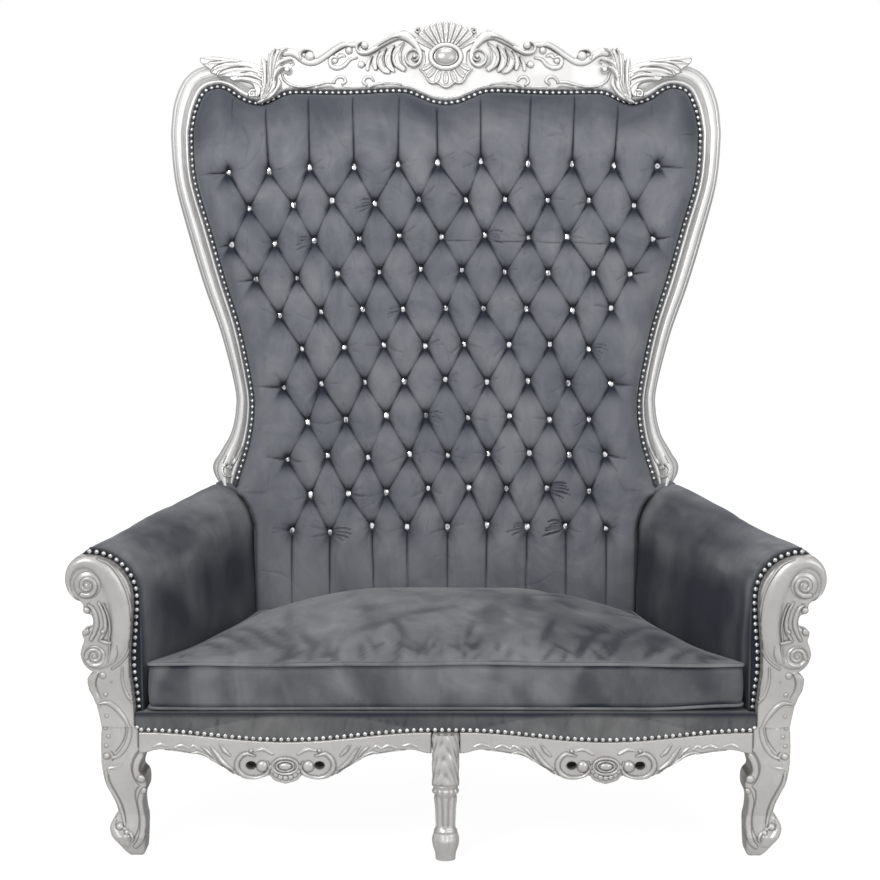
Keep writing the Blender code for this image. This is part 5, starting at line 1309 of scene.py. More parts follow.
def cushion_top(ring, folds, levels):
    """Rings of the crowned top, and their painted shade and brushed pile."""
    wave = cushion_wave(ring[:, 0])
    area = ((-0.66, -0.39), (0.66, 0.15))
    rings, shade_and_patina = [], []
    for k in range(1, levels):
        share = (k / levels) ** 1.25
        spot = CUSHION_CENTRE + (ring - CUSHION_CENTRE) * (1 - share)
        x, y = spot.T
        high = CUSHION_EDGE + CUSHION_CROWN * cushion_dome(x, y) - cushion_drop(x, y)
        dent = np.zeros(len(ring))
        for fx, fy, angle, size, wide, deep in folds:
            dx, dy = x - fx, y - fy
            a = dx * math.cos(angle) + dy * math.sin(angle)
            b = -dx * math.sin(angle) + dy * math.cos(angle)
            dent += deep * bell(a / size, b / wide)
        seat = 0.006 * bell((np.abs(x) - 0.27) / 0.17, (y + 0.13) / 0.16)
        fade = max(0.0, 1 - 8 * share)
        z = CUSHION_BASE + high + fade * wave - (dent + seat) * min(1, 6 * share)
        rings.append(np.column_stack([spot, z]))
        nap = patches(x, y, 12, 46, (0.05, 0.16), area) + 0.5 * patches(x + 0.4 * y, y, 13, 170, (0.015, 0.06), area)
        nap = nap + 0.8 * bell((x - 0.36) / 0.17, (y + 0.10) / 0.13)
        nap = nap - 0.6 * bell((x + 0.20) / 0.10, (y + 0.12) / 0.16)
        # Painted shade towards the back and in the folds, over brushed pile.
        rear = 0.25 * ease((y - 0.02) / 0.12)
        shade_and_patina.append(np.clip(np.clip(dent / 0.005, 0, 0.55) + 0.52 * unit(nap) ** 1.2 + rear, 0, 0.85))
    return rings, shade_and_patina


def cushion():
    """Box cushion: crowned top, drawn-in sides, wrinkled front and a piped seam round each edge."""
    ring = cushion_ring(*(((120, 52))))
    outward = -normals_of(np.vstack([ring, ring[:1]]))[:-1]
    random = np.random.default_rng(21)
    puckers = draws(random, ((0, len(ring)), (1.5, 5.0), (-6, 6), (0.0006, 0.0024)), 70)
    folds = draws(random, ((-0.55, 0.55), (-0.33, 0.10), (0, 3.14), (0.03, 0.09), (0.010, 0.022),
                           (0.0008, 0.0026)), 34)
    folds += [(random.uniform(-0.60, 0.60), random.uniform(-0.372, -0.325), 1.57 + random.normal(0, 0.55),
               random.uniform(0.014, 0.034), random.uniform(0.0035, 0.0075), random.uniform(0.0016, 0.0042))
              for _ in range(46)]
    folds += [(x, y, angle, size, 0.0085, deep) for x, y, angle, size, deep in FRONT_FOLDS]
    side, side_shade = cushion_wall(ring, outward, puckers)
    top, top_shade = cushion_top(ring, folds, 46)
    made = skin("loose_cushion", side + top, VELVET_SEAT, side_shade + top_shade, sharp=70)
    dressed(made, "cushion", "velvet", "seat_cushion")
    for word, high in (("bottom", 0.0045), ("top", 0.1005)):
        points = np.column_stack([ring + outward * 0.0030, wall_height(ring, high)])
        dressed(cord("welt_" + word, points, 0.0034, 10, VELVET_SEAT, closed=True),
                "cushion", "velvet", "cushion_welt_" + word)


def flat_cover(name, node, front, back, low, high, margin, material, slot, corner):
    """Upholstered or stretched sheet between the arms, with rounded edges."""
    ys = [blend(front, back, step / 28) for step in range(29)]
    right = np.array([(inner_width(y) - margin, y) for y in ys])
    ends = [np.column_stack([np.linspace(-x, x, 40)[:-1], np.full(39, y)])
            for x, y in ((right[0, 0], front), (-right[-1, 0], back))]
    ring = np.vstack([ends[0], right[:-1], ends[1], right[::-1][:-1] * (-1, 1)])
    centre = np.array([0.0, (front + back) / 2])
    size = np.linalg.norm(ring - centre, axis=1)[:, None]
    levels = [(1 - share, low) for share in (0.8, 0.5, 0.2)]
    for angle in range(-90, 91, 30):
        fall = corner * (1 - math.sin(math.radians(abs(angle))))
        inset = corner * (1 - math.cos(math.radians(angle)))
        levels.append((1 - inset / size, low + fall if angle < 0 else high - fall))
    levels += [(1 - share, high) for share in (0.1, 0.2, 0.4, 0.6, 0.8)]
    rings = [np.column_stack([centre + (ring - centre) * scale, np.full(len(ring), z)]) for scale, z in levels]
    dressed(skin(name, rings, material, sharp=50), "frame", slot, node)


def seat_covers():
    back = BACK_FACE_Y + (DECK_TOP - SEAT_LINE) * math.tan(RECLINE) - 0.044
    flat_cover("seat_platform", "seat_deck", -0.3837, back, 0.2876, DECK_TOP, 0.0006, VELVET_SEAT, "velvet", 0.006)
    flat_cover("under_cover", "dust_cover", -0.3687, 0.153, 0.2347, 0.2362, 0.015, LINING, "lining", 0.0007)


def back_cover():
    """Velvet stretched over the rear of the back."""
    low = up_back(0.2365)
    outline = [(x, low if z < PAD_FOOT + 0.002 else z) for x, z in pad_outline(0.0008)]
    field = Field((-0.636, low - 0.01), (0.636, PAD_TOP + 0.012), 0.008)
    field.out = field.polygon(outline)
    near = unit(-field.out / 0.05)
    field.high = 0.0035 + 0.002 * np.sqrt(1 - (1 - near) ** 2)
    random = np.random.default_rng(9)
    for _ in range(30):
        cx, cz = random.uniform(-0.5, 0.5), random.uniform(0, 1.1)
        angle = random.uniform(0.9, 2.2)
        size = random.uniform(0.05, 0.14)
        field.groove(bent(cx, cz, angle, size, 2, 0.1, 0.006, 0.016), 0.0010, 0.0, 4)
    made = field.build("rear_cover", lambda x, out, z: on_back(x, -0.0443 - out, z), 0.0, VELVET_SHADE, side=1)
    dressed(made, "frame", "velvet", "back_panel")


def back_posts():
    """Velvet over the posts behind the arms, drawn in at the top so that they stay behind the stile."""
    for word, side in SIDES:
        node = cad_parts["back_post_" + word]
        points = np.array([node.matrix_world @ v.co for v in node.data.vertices])
        across = np.abs(points[:, 0])
        outer = (points[:, 2] > points[:, 2].max() - 0.06) & (across > across.max() - 0.02)
        points[outer, 0] -= side * 0.019
        points[outer, 2] -= 0.006
        faces = by_size([list(polygon.vertices) for polygon in node.data.polygons])
        made = new_piece("post_cover_" + word, points, *faces, VELVET_SHADE, sharp=20)
        dressed(made, "frame", "velvet", "back_post_" + word)


# Carvings, drawn for the left half and mirrored. Each sheet has its own corner and drawing unit


def sheet(x, z, unit_x, unit_z):
    """Turns drawing points (across, down, half width) of a sheet into metres."""
    def placed(points):
        return np.array([(x + unit_x * px, z - unit_z * pz, 0.5 * (unit_x + unit_z) * half)
                         for px, pz, half in points])
    return placed


CENTRE = sheet(-0.1604, 1.4196, 0.0002176, 0.0002186)
CREST = sheet(-0.4650, 1.3707, 0.0002176, 0.0002186)
SHOULDER = sheet(-0.6112, 1.3462, 0.00020205, 0.0002029)
FACING = sheet(-0.8040, 0.6839, 0.0002660, 0.0002710)
LEG = sheet(-0.7405, 0.28864, 0.0001881, 0.0001935)
APRON = sheet(-0.6417, 0.3008, 0.000215, 0.0002211)


def carve(field, drawn, base, rows, solid=True, flip=None, edge=0.0013, scale=1.0, shade_and_patina=1.0):
    """Strokes of (profile, height in mm, points) and an own base in mm. flip mirrors them about that
    x. The profile "ball" is an oval at (x, z, radius), and "cut" a groove."""
    for profile, high, points, *own in rows:
        ground = own[0] * MM if own else base
        high = high * scale * MM
        line = drawn([points] if profile == "ball" else points)
        if flip is not None:
            line[:, 0] = 2 * flip - line[:, 0]
        if profile == "ball":
            x, z, radius = line[0]
            field.dome(x, z, radius, radius, high, ground, shade_and_patina=shade_and_patina, solid=solid)
        elif profile == "cut":
            field.groove(line, high, shade_and_patina)
        else:
            field.stroke(line, high, profile, ground, (0.18 if profile == "soft" else 1.0) * shade_and_patina, edge, solid)


def ring_of(x, z, half_x, half_z, wide, angles):
    """Points of an oval, clockwise from its top, with their half width."""
    return [(x + half_x * math.sin(a), z + half_z * math.cos(a), wide) for a in angles]


def spiral(x, z, start, end, turns, angle, hand, wide, thin, steps=14):
    """Drawing points of a volute from its outside in."""
    rows = []
    for k in range(steps + 1):
        share = k / steps
        radius = blend(start, end, share**0.8)
        turn = math.radians(angle) + hand * 2 * math.pi * turns * share
        rows.append((x + radius * math.cos(turn), z - radius * math.sin(turn), blend(wide, thin, share)))
    return rows


CREST_TOP = [
    (0.000, 0.940), (0.062, 0.905), (0.109, 0.840), (0.128, 0.780), (0.187, 0.765), (0.225, 0.695),
    (0.288, 0.545), (0.327, 0.620), (0.390, 0.570), (0.455, 0.420), (0.503, 0.350), (0.538, 0.480),
    (0.593, 0.470), (0.640, 0.480), (0.6935, 0.480),
]
CREST_FACE = 0.0085
SHOULDER_FACE = 0.0165
STONE_FACE = 0.0160
# Painted shade along the edges of the carved pieces: for the crest and for the front.
CREST_EDGE_SHADE = 0.46
FRONT_EDGE_SHADE = 0.40
SHELL_MIDDLE = 1.3026


def crest_outline():
    over = smooth([(-x * PAD_HALF_WIDTH, PAD_TOP + z * CREST_RISE) for x, z in CREST_TOP], 6)
    under = crest_under() * (-1, 1)
    return np.vstack([over, [(-0.4342, 1.1935)], under[::-1], [(0.02, under[0, 1]), (0.02, over[0, 1])]])


S_BAND = [
    (-205, 375, 12), (-248, 396, 15), (-262, 446, 18), (-228, 490, 20), (-150, 494, 26), (-75, 455, 32),
    (0, 402, 36), (100, 345, 40), (200, 296, 48), (290, 300, 56), (366, 356, 50), (425, 436, 36),
    (456, 520, 26), (438, 600, 22), (375, 640, 20), (308, 604, 18), (288, 534, 17), (322, 474, 16),
    (385, 458, 15), (432, 500, 14), (428, 556, 12), (385, 580, 11), (350, 552, 9),
]


def crest_board():
    """Board of the crest with the shallow scrolls that stay part of it."""
    field = Field((-0.4346, 1.185), (0.021, 1.392), 0.0014)
    field.body(crest_outline(), 0.008, 0.005)
    carve(field, CREST, 0.007, [
        ("round", 7, [(1120, 172, 30), (1000, 166, 30), (900, 212, 34), (800, 286, 36), (700, 350, 38),
                      (620, 372, 36), (540, 345, 36), (470, 285, 42), (400, 252, 46), (330, 262, 40)]),
        ("round", 4, [(1120, 142, 10), (1000, 140, 10), (900, 186, 10), (800, 258, 10), (700, 322, 10)]),
        ("round", 9, [(520, 330, 12), (502, 280, 14), (530, 236, 15), (590, 226, 14), (640, 250, 10)]),
        ("round", 6, [(1140, 318, 10), (1062, 338, 18), (1005, 398, 22), (930, 432, 24), (862, 414, 24),
                      (838, 352, 22), (868, 308, 18), (918, 322, 14), (915, 360, 10)]),
        ("round", 5, [(300, 486, 11), (330, 566, 13), (420, 628, 14), (540, 645, 14), (660, 628, 14),
                      (790, 592, 14), (890, 596, 11)]),
        ("round", 5.5, [(880, 590, 9), (925, 536, 15), (985, 536, 17), (1014, 578, 17), (980, 612, 13)]),
        ("round", 5.5, [(1330, 578, 9), (1296, 536, 15), (1238, 540, 17), (1214, 588, 17), (1250, 628, 13)]),
        ("round", 4.5, [(1300, 640, 10), (1400, 606, 13), (1480, 602, 10), (1568, 606, 10), (1640, 620, 9)]),
        ("soft", 4, [(690, 655, 8), (760, 638, 16), (840, 632, 12), (880, 650, 6)]),
        ("scoop", 5, [(1010, 300, 8), (960, 286, 22), (930, 318, 14)]),
        ("ball", 12, (612, 298, 56)), ("ball", 11, (1052, 236, 40)), ("ball", 7, (890, 352, 30)),
    ])
    (px, pz, pr), = CENTRE([(62, 556, 205)])
    ground = 1.25 - np.hypot((field.x - px) / pr, (field.z - pz) / (0.66 * pr))
    field.shade_and_patina = np.maximum(field.shade_and_patina, 0.26 * ease(ground / 0.4))
    beside = [(x, z + 0.0065, 0.0015) for x, z in crest_under(3) * (-1, 1) if x > -0.405]
    field.stroke(beside, 0.0022, "round", 0.0068, shade_and_patina=0.8, edge=0.0010)
    made = field.both_sides().build("crest_board", on_back, BACK_DEPTH, SILVER_CREST, contour=CREST_EDGE_SHADE)
    dressed(made, "frame", "carved_silver", "crest_rail")


def crest_scrolls():
    """Long S-scroll beside the shell, ending in a volute at each end."""
    field = Field((-0.245, 1.255), (-0.045, 1.392), FINE)
    carve(field, CENTRE, 0.002, [("round", 13, S_BAND)], edge=0.0011)
    carve(field, CENTRE, 0.006, [
        ("round", 7, [(-60, 418, 9), (0, 378, 11), (110, 312, 12), (200, 262, 12), (275, 246, 10)]),
        ("cut", 5, [(-20, 424, 6), (60, 376, 9), (150, 332, 9), (230, 318, 6)]),
        ("cut", 4, [(330, 262, 5), (392, 320, 7), (440, 400, 7), (470, 470, 5)]),
        ("ball", 13, (-172, 406, 46), 4.0), ("ball", 9, (385, 528, 26), 4.0),
    ])
    pair(field, "crest_volutes_", off_back(CREST_FACE), 0.0, SILVER_CREST, CREST_EDGE_SHADE, "crest_scroll_")


def crest_fronds():
    """Leaf lobes that hang below the S-scroll."""
    field = Field((-0.245, 1.245), (-0.080, 1.345), FINE)
    carve(field, CENTRE, 0.0005, [
        ("scoop", 9, [(-10, 462, 10), (-50, 540, 26), (-62, 610, 31), (-50, 664, 24)]),
        ("scoop", 8, [(-90, 520, 8), (-130, 600, 24), (-142, 672, 22)]),
        ("scoop", 10, [(70, 430, 12), (12, 520, 32), (6, 610, 43), (50, 676, 40), (95, 704, 24)]),
        ("scoop", 10, [(160, 400, 12), (104, 480, 32), (88, 570, 41), (110, 640, 37), (150, 688, 22)]),
        ("scoop", 12, [(270, 378, 12), (208, 438, 36), (184, 520, 51), (200, 606, 53), (262, 668, 34)]),
        ("cut", 1.5, [(30, 500, 3), (-12, 570, 5), (-4, 650, 3)]),
        ("cut", 1.5, [(120, 470, 3), (76, 560, 5), (90, 640, 3)]),
        ("cut", 1.5, [(214, 450, 4), (172, 530, 6), (186, 610, 5), (226, 662, 3)]),
        ("ridge", 12, [(250, 420, 8), (228, 500, 12), (240, 590, 12), (290, 650, 8)]),
        ("ridge", 10, [(60, 470, 6), (38, 560, 10), (58, 640, 8)]),
        ("ball", 9, (-212, 616, 44), 0.0),
    ])
    pair(field, "crest_leaves_", off_back(CREST_FACE), 0.0, SILVER_CREST, CREST_EDGE_SHADE, "crest_acanthus_")


SHELL_COLLAR = [
    (-0.052, 1.315), (-0.050, 1.290), (-0.0625, 1.2690), (-0.0500, 1.2570), (-0.0430, 1.2430),
    (-0.0350, 1.2365), (-0.0200, 1.2372), (-0.0100, 1.2290), (0.0, 1.2255), (0.01, 1.23), (0.01, 1.39),
]
SHELL_RIM = [
    (-0.0640, 1.2735, 0.0020), (-0.0505, 1.2590, 0.0026), (-0.0435, 1.2455, 0.0027), (-0.0350, 1.2388, 0.0027),
    (-0.0200, 1.2392, 0.0027), (-0.0100, 1.2315, 0.0027), (0.0, 1.2282, 0.0027), (0.01, 1.2315, 0.0027),
]


def spoke(angle, rows, size=1.0):
    """Line out from the middle of the shell, through (radius, half width)."""
    return [(-radius * math.sin(angle), SHELL_MIDDLE + radius * math.cos(angle), half * size)
            for radius, half in rows]


def crest_fan():
    """Fluted shell over the stone, with the gemmed collar below it."""
    field = Field((-0.098, 1.215), (0.0, 1.400), FINE)
    plate = [spoke(math.radians(degrees), ((0.0855, 0),))[0][:2] for degrees in range(0, 70, 3)]
    field.body(plate + SHELL_COLLAR, 0.0065, 0.003)
    field.stroke(SHELL_RIM, 0.0045, "round", 0.0065)
    for k in range(6):
        angle = math.radians(11.8 * k)
        size = 1.0 if k < 5 else 0.8
        field.stroke(spoke(angle, ((0.034, 0.0028), (0.052, 0.0046), (0.070, 0.0064), (0.0815, 0.0070)), size),
                     0.0062, "round", 0.0052)
        field.groove(spoke(angle, ((0.044, 0.0012), (0.056, 0.0020), (0.070, 0.0029), (0.0800, 0.0031)), size),
                     0.0026, shade_and_patina=0.42)
    for angle in (0, 21, 42, 62):
        petal = spoke(math.radians(180 - angle), ((0.042, 0.0050), (0.054, 0.0066), (0.062, 0.0056)))
        field.stroke(petal, 0.0050, "flat", 0.0060)
        field.groove([(px, pz, 0.0026) for px, pz, _ in petal], 0.0022, shade_and_patina=0.5)
    field.stroke(CENTRE(spiral(425, 244, 34, 12, 1.1, 60, 1, 13, 8)), 0.0065, "round", 0.0055, shade_and_patina=0.35)
    field.stroke(ring_of(0.0, SHELL_MIDDLE, -0.0365, 0.0285, 0.0058, np.linspace(-0.25, math.pi + 0.25, 20)),
                 0.0085, "round", 0.0065)
    made = field.both_sides().build("crest_fan", off_back(CREST_FACE), 0.0, SILVER_CREST, contour=CREST_EDGE_SHADE)
    dressed(made, "frame", "carved_silver", "crest_shell")
    gem = Field((-0.034, 1.275), (0.0, 1.331), FINE)
    gem.dome(0.0, SHELL_MIDDLE, 0.0300, 0.0232, 0.0120, 0.0, power=1.25)
    gem.stroke(ring_of(0.0, SHELL_MIDDLE, -0.0265, 0.0200, 0.0028, np.linspace(-0.3, math.pi + 0.3, 20)),
               0.0015, "round", 0.0035, shade_and_patina=0.8)
    # Painted reflection: the stone is darker to each side of its middle.
    across = np.abs(gem.x)
    gem.shade_and_patina = np.maximum(gem.shade_and_patina, 0.55 * ease((across - 0.010) / 0.014) * ease((0.0265 - across) / 0.004))
    made = gem.both_sides().build("crest_stone", off_back(STONE_FACE), 0.0, SILVER)
    dressed(made, "frame", "carved_silver", "crest_cabochon")


WING_EDGE = [
    (60, 235), (120, 225), (220, 215), (330, 225), (440, 240), (560, 260), (660, 285), (740, 315), (792, 345),
    (806, 440), (806, 540), (800, 640), (770, 700), (720, 690), (716, 610), (690, 562), (636, 536), (560, 522),
    (480, 516), (440, 500), (404, 470), (350, 462), (290, 470), (268, 440), (200, 415), (180, 370), (120, 330),
    (78, 292), (62, 250),
]


def shoulder_leaves():
    """Upright leaf that clasps the joint of crest and stile, and the wing leaf over the shoulder."""
    field = Field((-0.470, 1.180), (-0.362, 1.335), FINE)
    carve(field, SHOULDER, 0.002, [
        ("soft", 12, [(830, 262, 30), (836, 340, 36), (840, 440, 34), (836, 540, 32), (822, 640, 26),
                      (800, 720, 14)]),
        ("soft", 15, [(968, 122, 10), (930, 200, 34), (912, 300, 42), (912, 420, 44), (908, 530, 44),
                      (880, 640, 36), (840, 740, 20)]),
        ("soft", 14, [(1006, 118, 8), (996, 190, 34), (972, 300, 42), (952, 420, 40), (948, 500, 36)]),
        ("soft", 13, [(1112, 122, 14), (1064, 134, 26), (1020, 190, 30), (996, 280, 30), (970, 380, 24)]),
        ("soft", 12, [(1176, 252, 12), (1110, 256, 22), (1040, 280, 30), (990, 336, 28), (950, 420, 20)]),
        ("round", 12, [(1172, 250, 12), (1186, 284, 10), (1150, 306, 8)]),
        ("soft", 12, [(1084, 352, 10), (1030, 356, 26), (984, 404, 26), (950, 480, 20)]),
        ("ball", 11, (1112, 372, 36)),
        ("round", 9, [(1070, 398, 8), (1116, 420, 10), (1160, 392, 9), (1168, 350, 7)]),
        ("soft", 13, [(936, 470, 16), (960, 540, 34), (940, 610, 40), (890, 680, 34), (836, 740, 24),
                      (786, 772, 12)]),
        ("soft", 12, [(1010, 470, 12), (1020, 540, 28), (990, 610, 30), (940, 680, 24), (880, 736, 12)]),
        ("soft", 10, [(866, 640, 14), (846, 700, 30), (806, 752, 28), (762, 772, 12)]),
        ("cut", 4, [(818, 300, 5), (826, 380, 9), (830, 520, 9), (818, 640, 5)]),
        ("cut", 4, [(876, 300, 5), (872, 420, 9), (876, 540, 9), (856, 660, 5)]),
        ("cut", 5, [(944, 150, 5), (904, 250, 10), (898, 400, 10), (906, 540, 10), (868, 660, 5)]),
        ("cut", 4, [(986, 130, 4), (950, 200, 8), (932, 320, 9), (930, 450, 9), (900, 600, 5)]),
        ("cut", 5, [(1040, 150, 5), (1000, 220, 10), (972, 320, 10), (950, 430, 9), (940, 520, 5)]),
        ("cut", 3, [(1090, 150, 4), (1050, 180, 8), (1020, 240, 7), (1004, 290, 4)]),
        ("cut", 4, [(1140, 290, 4), (1080, 288, 9), (1016, 318, 10), (974, 380, 6)]),
        ("cut", 4, [(1050, 400, 4), (1002, 430, 8), (972, 500, 8), (980, 570, 5)]),
        ("cut", 4, [(990, 520, 4), (978, 590, 9), (920, 660, 9), (850, 730, 5)]),
        ("cut", 3, [(930, 560, 4), (900, 640, 8), (850, 700, 7), (800, 750, 4)]),
    ], edge=0.0012, scale=0.62, shade_and_patina=0.62)
    wing = Field((-0.606, 1.205), (-0.448, 1.306), FINE)
    edge = SHOULDER([(x, z, 0) for x, z in WING_EDGE])[:, :2]
    wing.body(smooth(edge, 4), 0.0055, 0.004, 0.7)
    carve(wing, SHOULDER, 0.004, [
        ("soft", 7, [(72, 240, 8), (200, 246, 22), (350, 262, 26), (520, 288, 28), (700, 326, 30),
                     (796, 360, 22)]),
        ("soft", 7, [(112, 306, 8), (200, 300, 20), (330, 292, 22), (520, 306, 26), (700, 350, 26),
                     (800, 392, 20)]),
        ("soft", 8, [(190, 404, 8), (290, 342, 22), (420, 318, 26), (560, 318, 26), (700, 372, 26),
                     (802, 426, 20)]),
        ("soft", 8, [(270, 452, 8), (350, 418, 26), (470, 384, 30), (620, 380, 30), (720, 400, 26),
                     (802, 458, 20)]),
        ("soft", 7, [(400, 462, 8), (520, 444, 18), (620, 436, 22), (720, 456, 22), (804, 500, 18)]),
        ("soft", 7, [(470, 506, 6), (580, 494, 16), (680, 506, 22), (770, 544, 22), (804, 590, 16)]),
        ("cut", 4, [(140, 302, 4), (200, 282, 8), (260, 276, 8), (330, 272, 4)]),
        ("cut", 4, [(186, 392, 4), (240, 340, 9), (330, 303, 10), (430, 291, 10), (570, 288, 4)]),
        ("cut", 5, [(282, 444, 4), (334, 388, 10), (424, 354, 12), (540, 340, 12), (640, 345, 10),
                    (700, 364, 4)]),
        ("cut", 4, [(552, 414, 4), (640, 400, 9), (704, 406, 9), (770, 430, 4)]),
        ("cut", 5, [(520, 468, 4), (640, 459, 10), (724, 474, 11), (796, 506, 6)]),
        ("cut", 5, [(462, 516, 5), (560, 514, 12), (640, 530, 13), (700, 560, 12), (726, 604, 6)]),
        ("cut", 3, [(262, 430, 4), (292, 392, 8), (338, 380, 5)]),
    ], edge=0.0012, scale=0.80, shade_and_patina=0.72)
    carve(wing, SHOULDER, 0.0, [("ball", 9, (700, 672, 62)),
                                ("round", 4, spiral(700, 672, 48, 12, 1.25, 60, 1, 15, 9), 8.0)], edge=0.0011)
    for word, side in SIDES:
        for relief, name, node in ((field, "clasp_leaf_", "shoulder_leaf_"), (wing, "wing_leaf_", "side_leaf_")):
            made = relief.build(name + word, off_back(SHOULDER_FACE), 0.0, SILVER_CREST, side, CREST_EDGE_SHADE)
            dressed(made, "frame", "carved_silver", node + word)


FACING_EDGE = [
    (-763, 648), (-777, 640), (-788, 624), (-792, 604), (-789, 584), (-779, 566), (-763, 552), (-757, 544),
    (-757, 537), (-753, 527), (-742, 524), (-737, 512), (-741, 498), (-757, 493), (-761, 482), (-757, 469),
    (-762, 455), (-765, 438), (-759, 419), (-747, 406), (-739, 401), (-750, 392), (-752, 379), (-748, 364),
    (-740, 351), (-735, 336), (-732, 322), (-728, 304), (-725, 285.3),
]
LEG_CARVING = [
    ("soft", 3.5, [(250, 60, 60), (270, 250, 90), (285, 430, 110), (295, 620, 130), (325, 800, 110),
                   (372, 950, 80), (392, 1100, 60), (392, 1220, 36)]),
    ("round", 6, [(790, 262, 26), (690, 264, 30), (600, 288, 36), (530, 334, 38), (482, 410, 38),
                  (464, 500, 38), (480, 580, 38), (506, 622, 30)]),
    ("round", 6, [(524, 756, 28), (504, 860, 38), (516, 980, 38), (528, 1100, 38), (520, 1220, 36),
                  (490, 1310, 34), (440, 1370, 26)]),
    ("round", 4, [(128, 530, 14), (140, 640, 18), (178, 740, 20), (232, 840, 20), (270, 940, 20),
                  (300, 1040, 18), (320, 1135, 12)]),
    ("soft", 5, [(214, 1070, 20), (190, 1150, 36), (215, 1220, 42), (262, 1290, 44), (310, 1350, 34)]),
    ("soft", 6, [(338, 1256, 56), (322, 1300, 60), (344, 1350, 40)]),
    ("round", 5, [(296, 1156, 14), (345, 1186, 20), (392, 1226, 20), (414, 1276, 16), (396, 1312, 10)], 6.0),
    ("soft", 4, [(150, 484, 12), (206, 480, 22), (262, 462, 24), (314, 426, 10)]),
    ("ball", 8, (525, 602, 48)), ("ball", 7, (548, 742, 38)), ("ball", 8, (264, 1144, 42)),
    ("ball", 6, (345, 1206, 30), 6.0),
    ("ball", 8, (140, 345, 40)), ("ball", 4, (128, 38, 22)), ("ball", 4, (160, 132, 20)),
    ("ball", 4, (134, 234, 22)),
    ("cut", 1.8, [(190, 300, 8), (222, 350, 18), (200, 404, 8)]),
    ("round", 4, [(398, -12, 16), (400, 90, 24), (376, 188, 26), (328, 278, 26), (262, 344, 22),
                  (200, 370, 12)]),
    ("cut", 1.6, [(350, 0, 8), (352, 90, 12), (330, 170, 12), (290, 240, 12), (238, 298, 8)]),
    ("cut", 1.8, [(780, 236, 8), (650, 242, 10), (560, 262, 12), (494, 300, 12), (446, 362, 12), (418, 440, 12),
                  (414, 510, 12), (434, 590, 12), (468, 658, 10), (500, 690, 8)]),
    ("cut", 1.8, [(488, 700, 8), (456, 740, 12), (444, 810, 12), (452, 890, 12), (470, 970, 12),
                  (480, 1060, 12), (476, 1150, 12), (456, 1220, 12), (428, 1268, 10)]),
    ("cut", 1.4, [(152, 560, 6), (172, 650, 10), (222, 756, 10), (272, 856, 10), (300, 936, 10),
                  (314, 1010, 10), (334, 1110, 6)]),
]
FACING_CARVING = [
    ("soft", 10, [(120, 478, 24), (72, 400, 32), (64, 300, 36), (108, 214, 44), (200, 178, 54), (300, 212, 66),
                  (374, 300, 80), (432, 420, 88), (464, 560, 88), (468, 700, 86), (448, 820, 78),
                  (394, 920, 58), (310, 980, 38), (232, 980, 28), (184, 930, 22)]),
    ("round", 4, [(300, 148, 7), (396, 196, 8), (466, 282, 8), (520, 390, 8), (548, 500, 8), (558, 620, 8),
                  (553, 740, 8), (536, 850, 8), (506, 916, 8), (456, 970, 8), (396, 1012, 7)], 6.0),
    ("ball", 9, (215, 355, 106)),
    ("round", 5, spiral(215, 355, 84, 20, 1.5, 240, 1, 20, 12), 9.5),
    ("ball", 6, (215, 357, 24), 9.5),
    ("ball", 9, (262, 912, 84)),
    ("round", 5, spiral(262, 910, 66, 16, 1.35, 190, -1, 17, 10), 9.0),
    ("ball", 5, (262, 910, 20), 9.0),
    ("round", 9, [(222, 508, 12), (256, 540, 18), (278, 600, 20), (284, 666, 20), (262, 730, 18),
                  (236, 780, 14)]),
    ("round", 8, [(300, 490, 10), (334, 556, 16), (352, 640, 19), (342, 720, 18), (304, 786, 13)]),
    ("round", 6, [(340, 500, 7), (374, 590, 8), (388, 690, 8), (378, 780, 8), (384, 860, 7),
                  (366, 950, 6)], 8.0),
    ("ball", 9, (205, 550, 30)), ("ball", 9, (194, 716, 32)), ("ball", 7, (330, 716, 17), 8.0),
    ("round", 5, [(318, 790, 10), (352, 800, 14), (392, 806, 8)], 9.0),
    ("soft", 6, [(280, 1046, 14), (244, 1110, 30), (240, 1180, 34), (266, 1250, 30), (290, 1306, 16)]),
    ("ball", 6, (320, 1066, 26)), ("ball", 5, (340, 1216, 17)), ("ball", 4, (345, 1386, 15)),
    ("ball", 3, (386, 1116, 8)),
    ("round", 5, [(476, 1004, 7), (474, 1090, 10), (490, 1170, 11), (522, 1240, 11), (568, 1292, 8)]),
    ("soft", 5, [(540, 1050, 12), (536, 1120, 26), (556, 1190, 22)]),
    ("round", 4, [(534, 1256, 8), (560, 1232, 13), (580, 1214, 8)]),
    ("round", 7, [(292, 1286, 10), (350, 1280, 17), (402, 1306, 20), (450, 1356, 19), (492, 1414, 15),
                  (524, 1480, 9)]),
    ("cut", 1.6, [(288, 1052, 5), (266, 1120, 8), (278, 1190, 8), (312, 1254, 5)]),
    ("cut", 1.4, [(440, 826, 5), (446, 890, 8), (422, 952, 5)]),
]


def facings():
    """Scrolled front of each arm."""
    field = Field((-0.797, 0.2852), (-0.650, 0.652), 0.0012)
    inner = roll_line(NAIL_BAND)[:, :2] * (-1, 1)
    edge = smooth(np.array(FACING_EDGE) * MM, 4)
    field.body(np.vstack([inner, edge, [(edge[-1, 0], 0.26), (inner[0, 0], 0.26)]]), 0.006, 0.005)
    carve(field, FACING, 0.004, FACING_CARVING, solid=False, scale=0.85, shade_and_patina=0.75)
    # Painted shade over the facing, fading out down to the leg it meets, to tone down the light it takes.
    field.shade_and_patina = unit(field.shade_and_patina + 0.20 * ease((field.z - 0.295) / 0.07))
    pair(field, "arm_front_", in_front(FRONT_Y), FACING_DEPTH, SILVER, FRONT_EDGE_SHADE, "arm_facing_", "arm_scroll_")


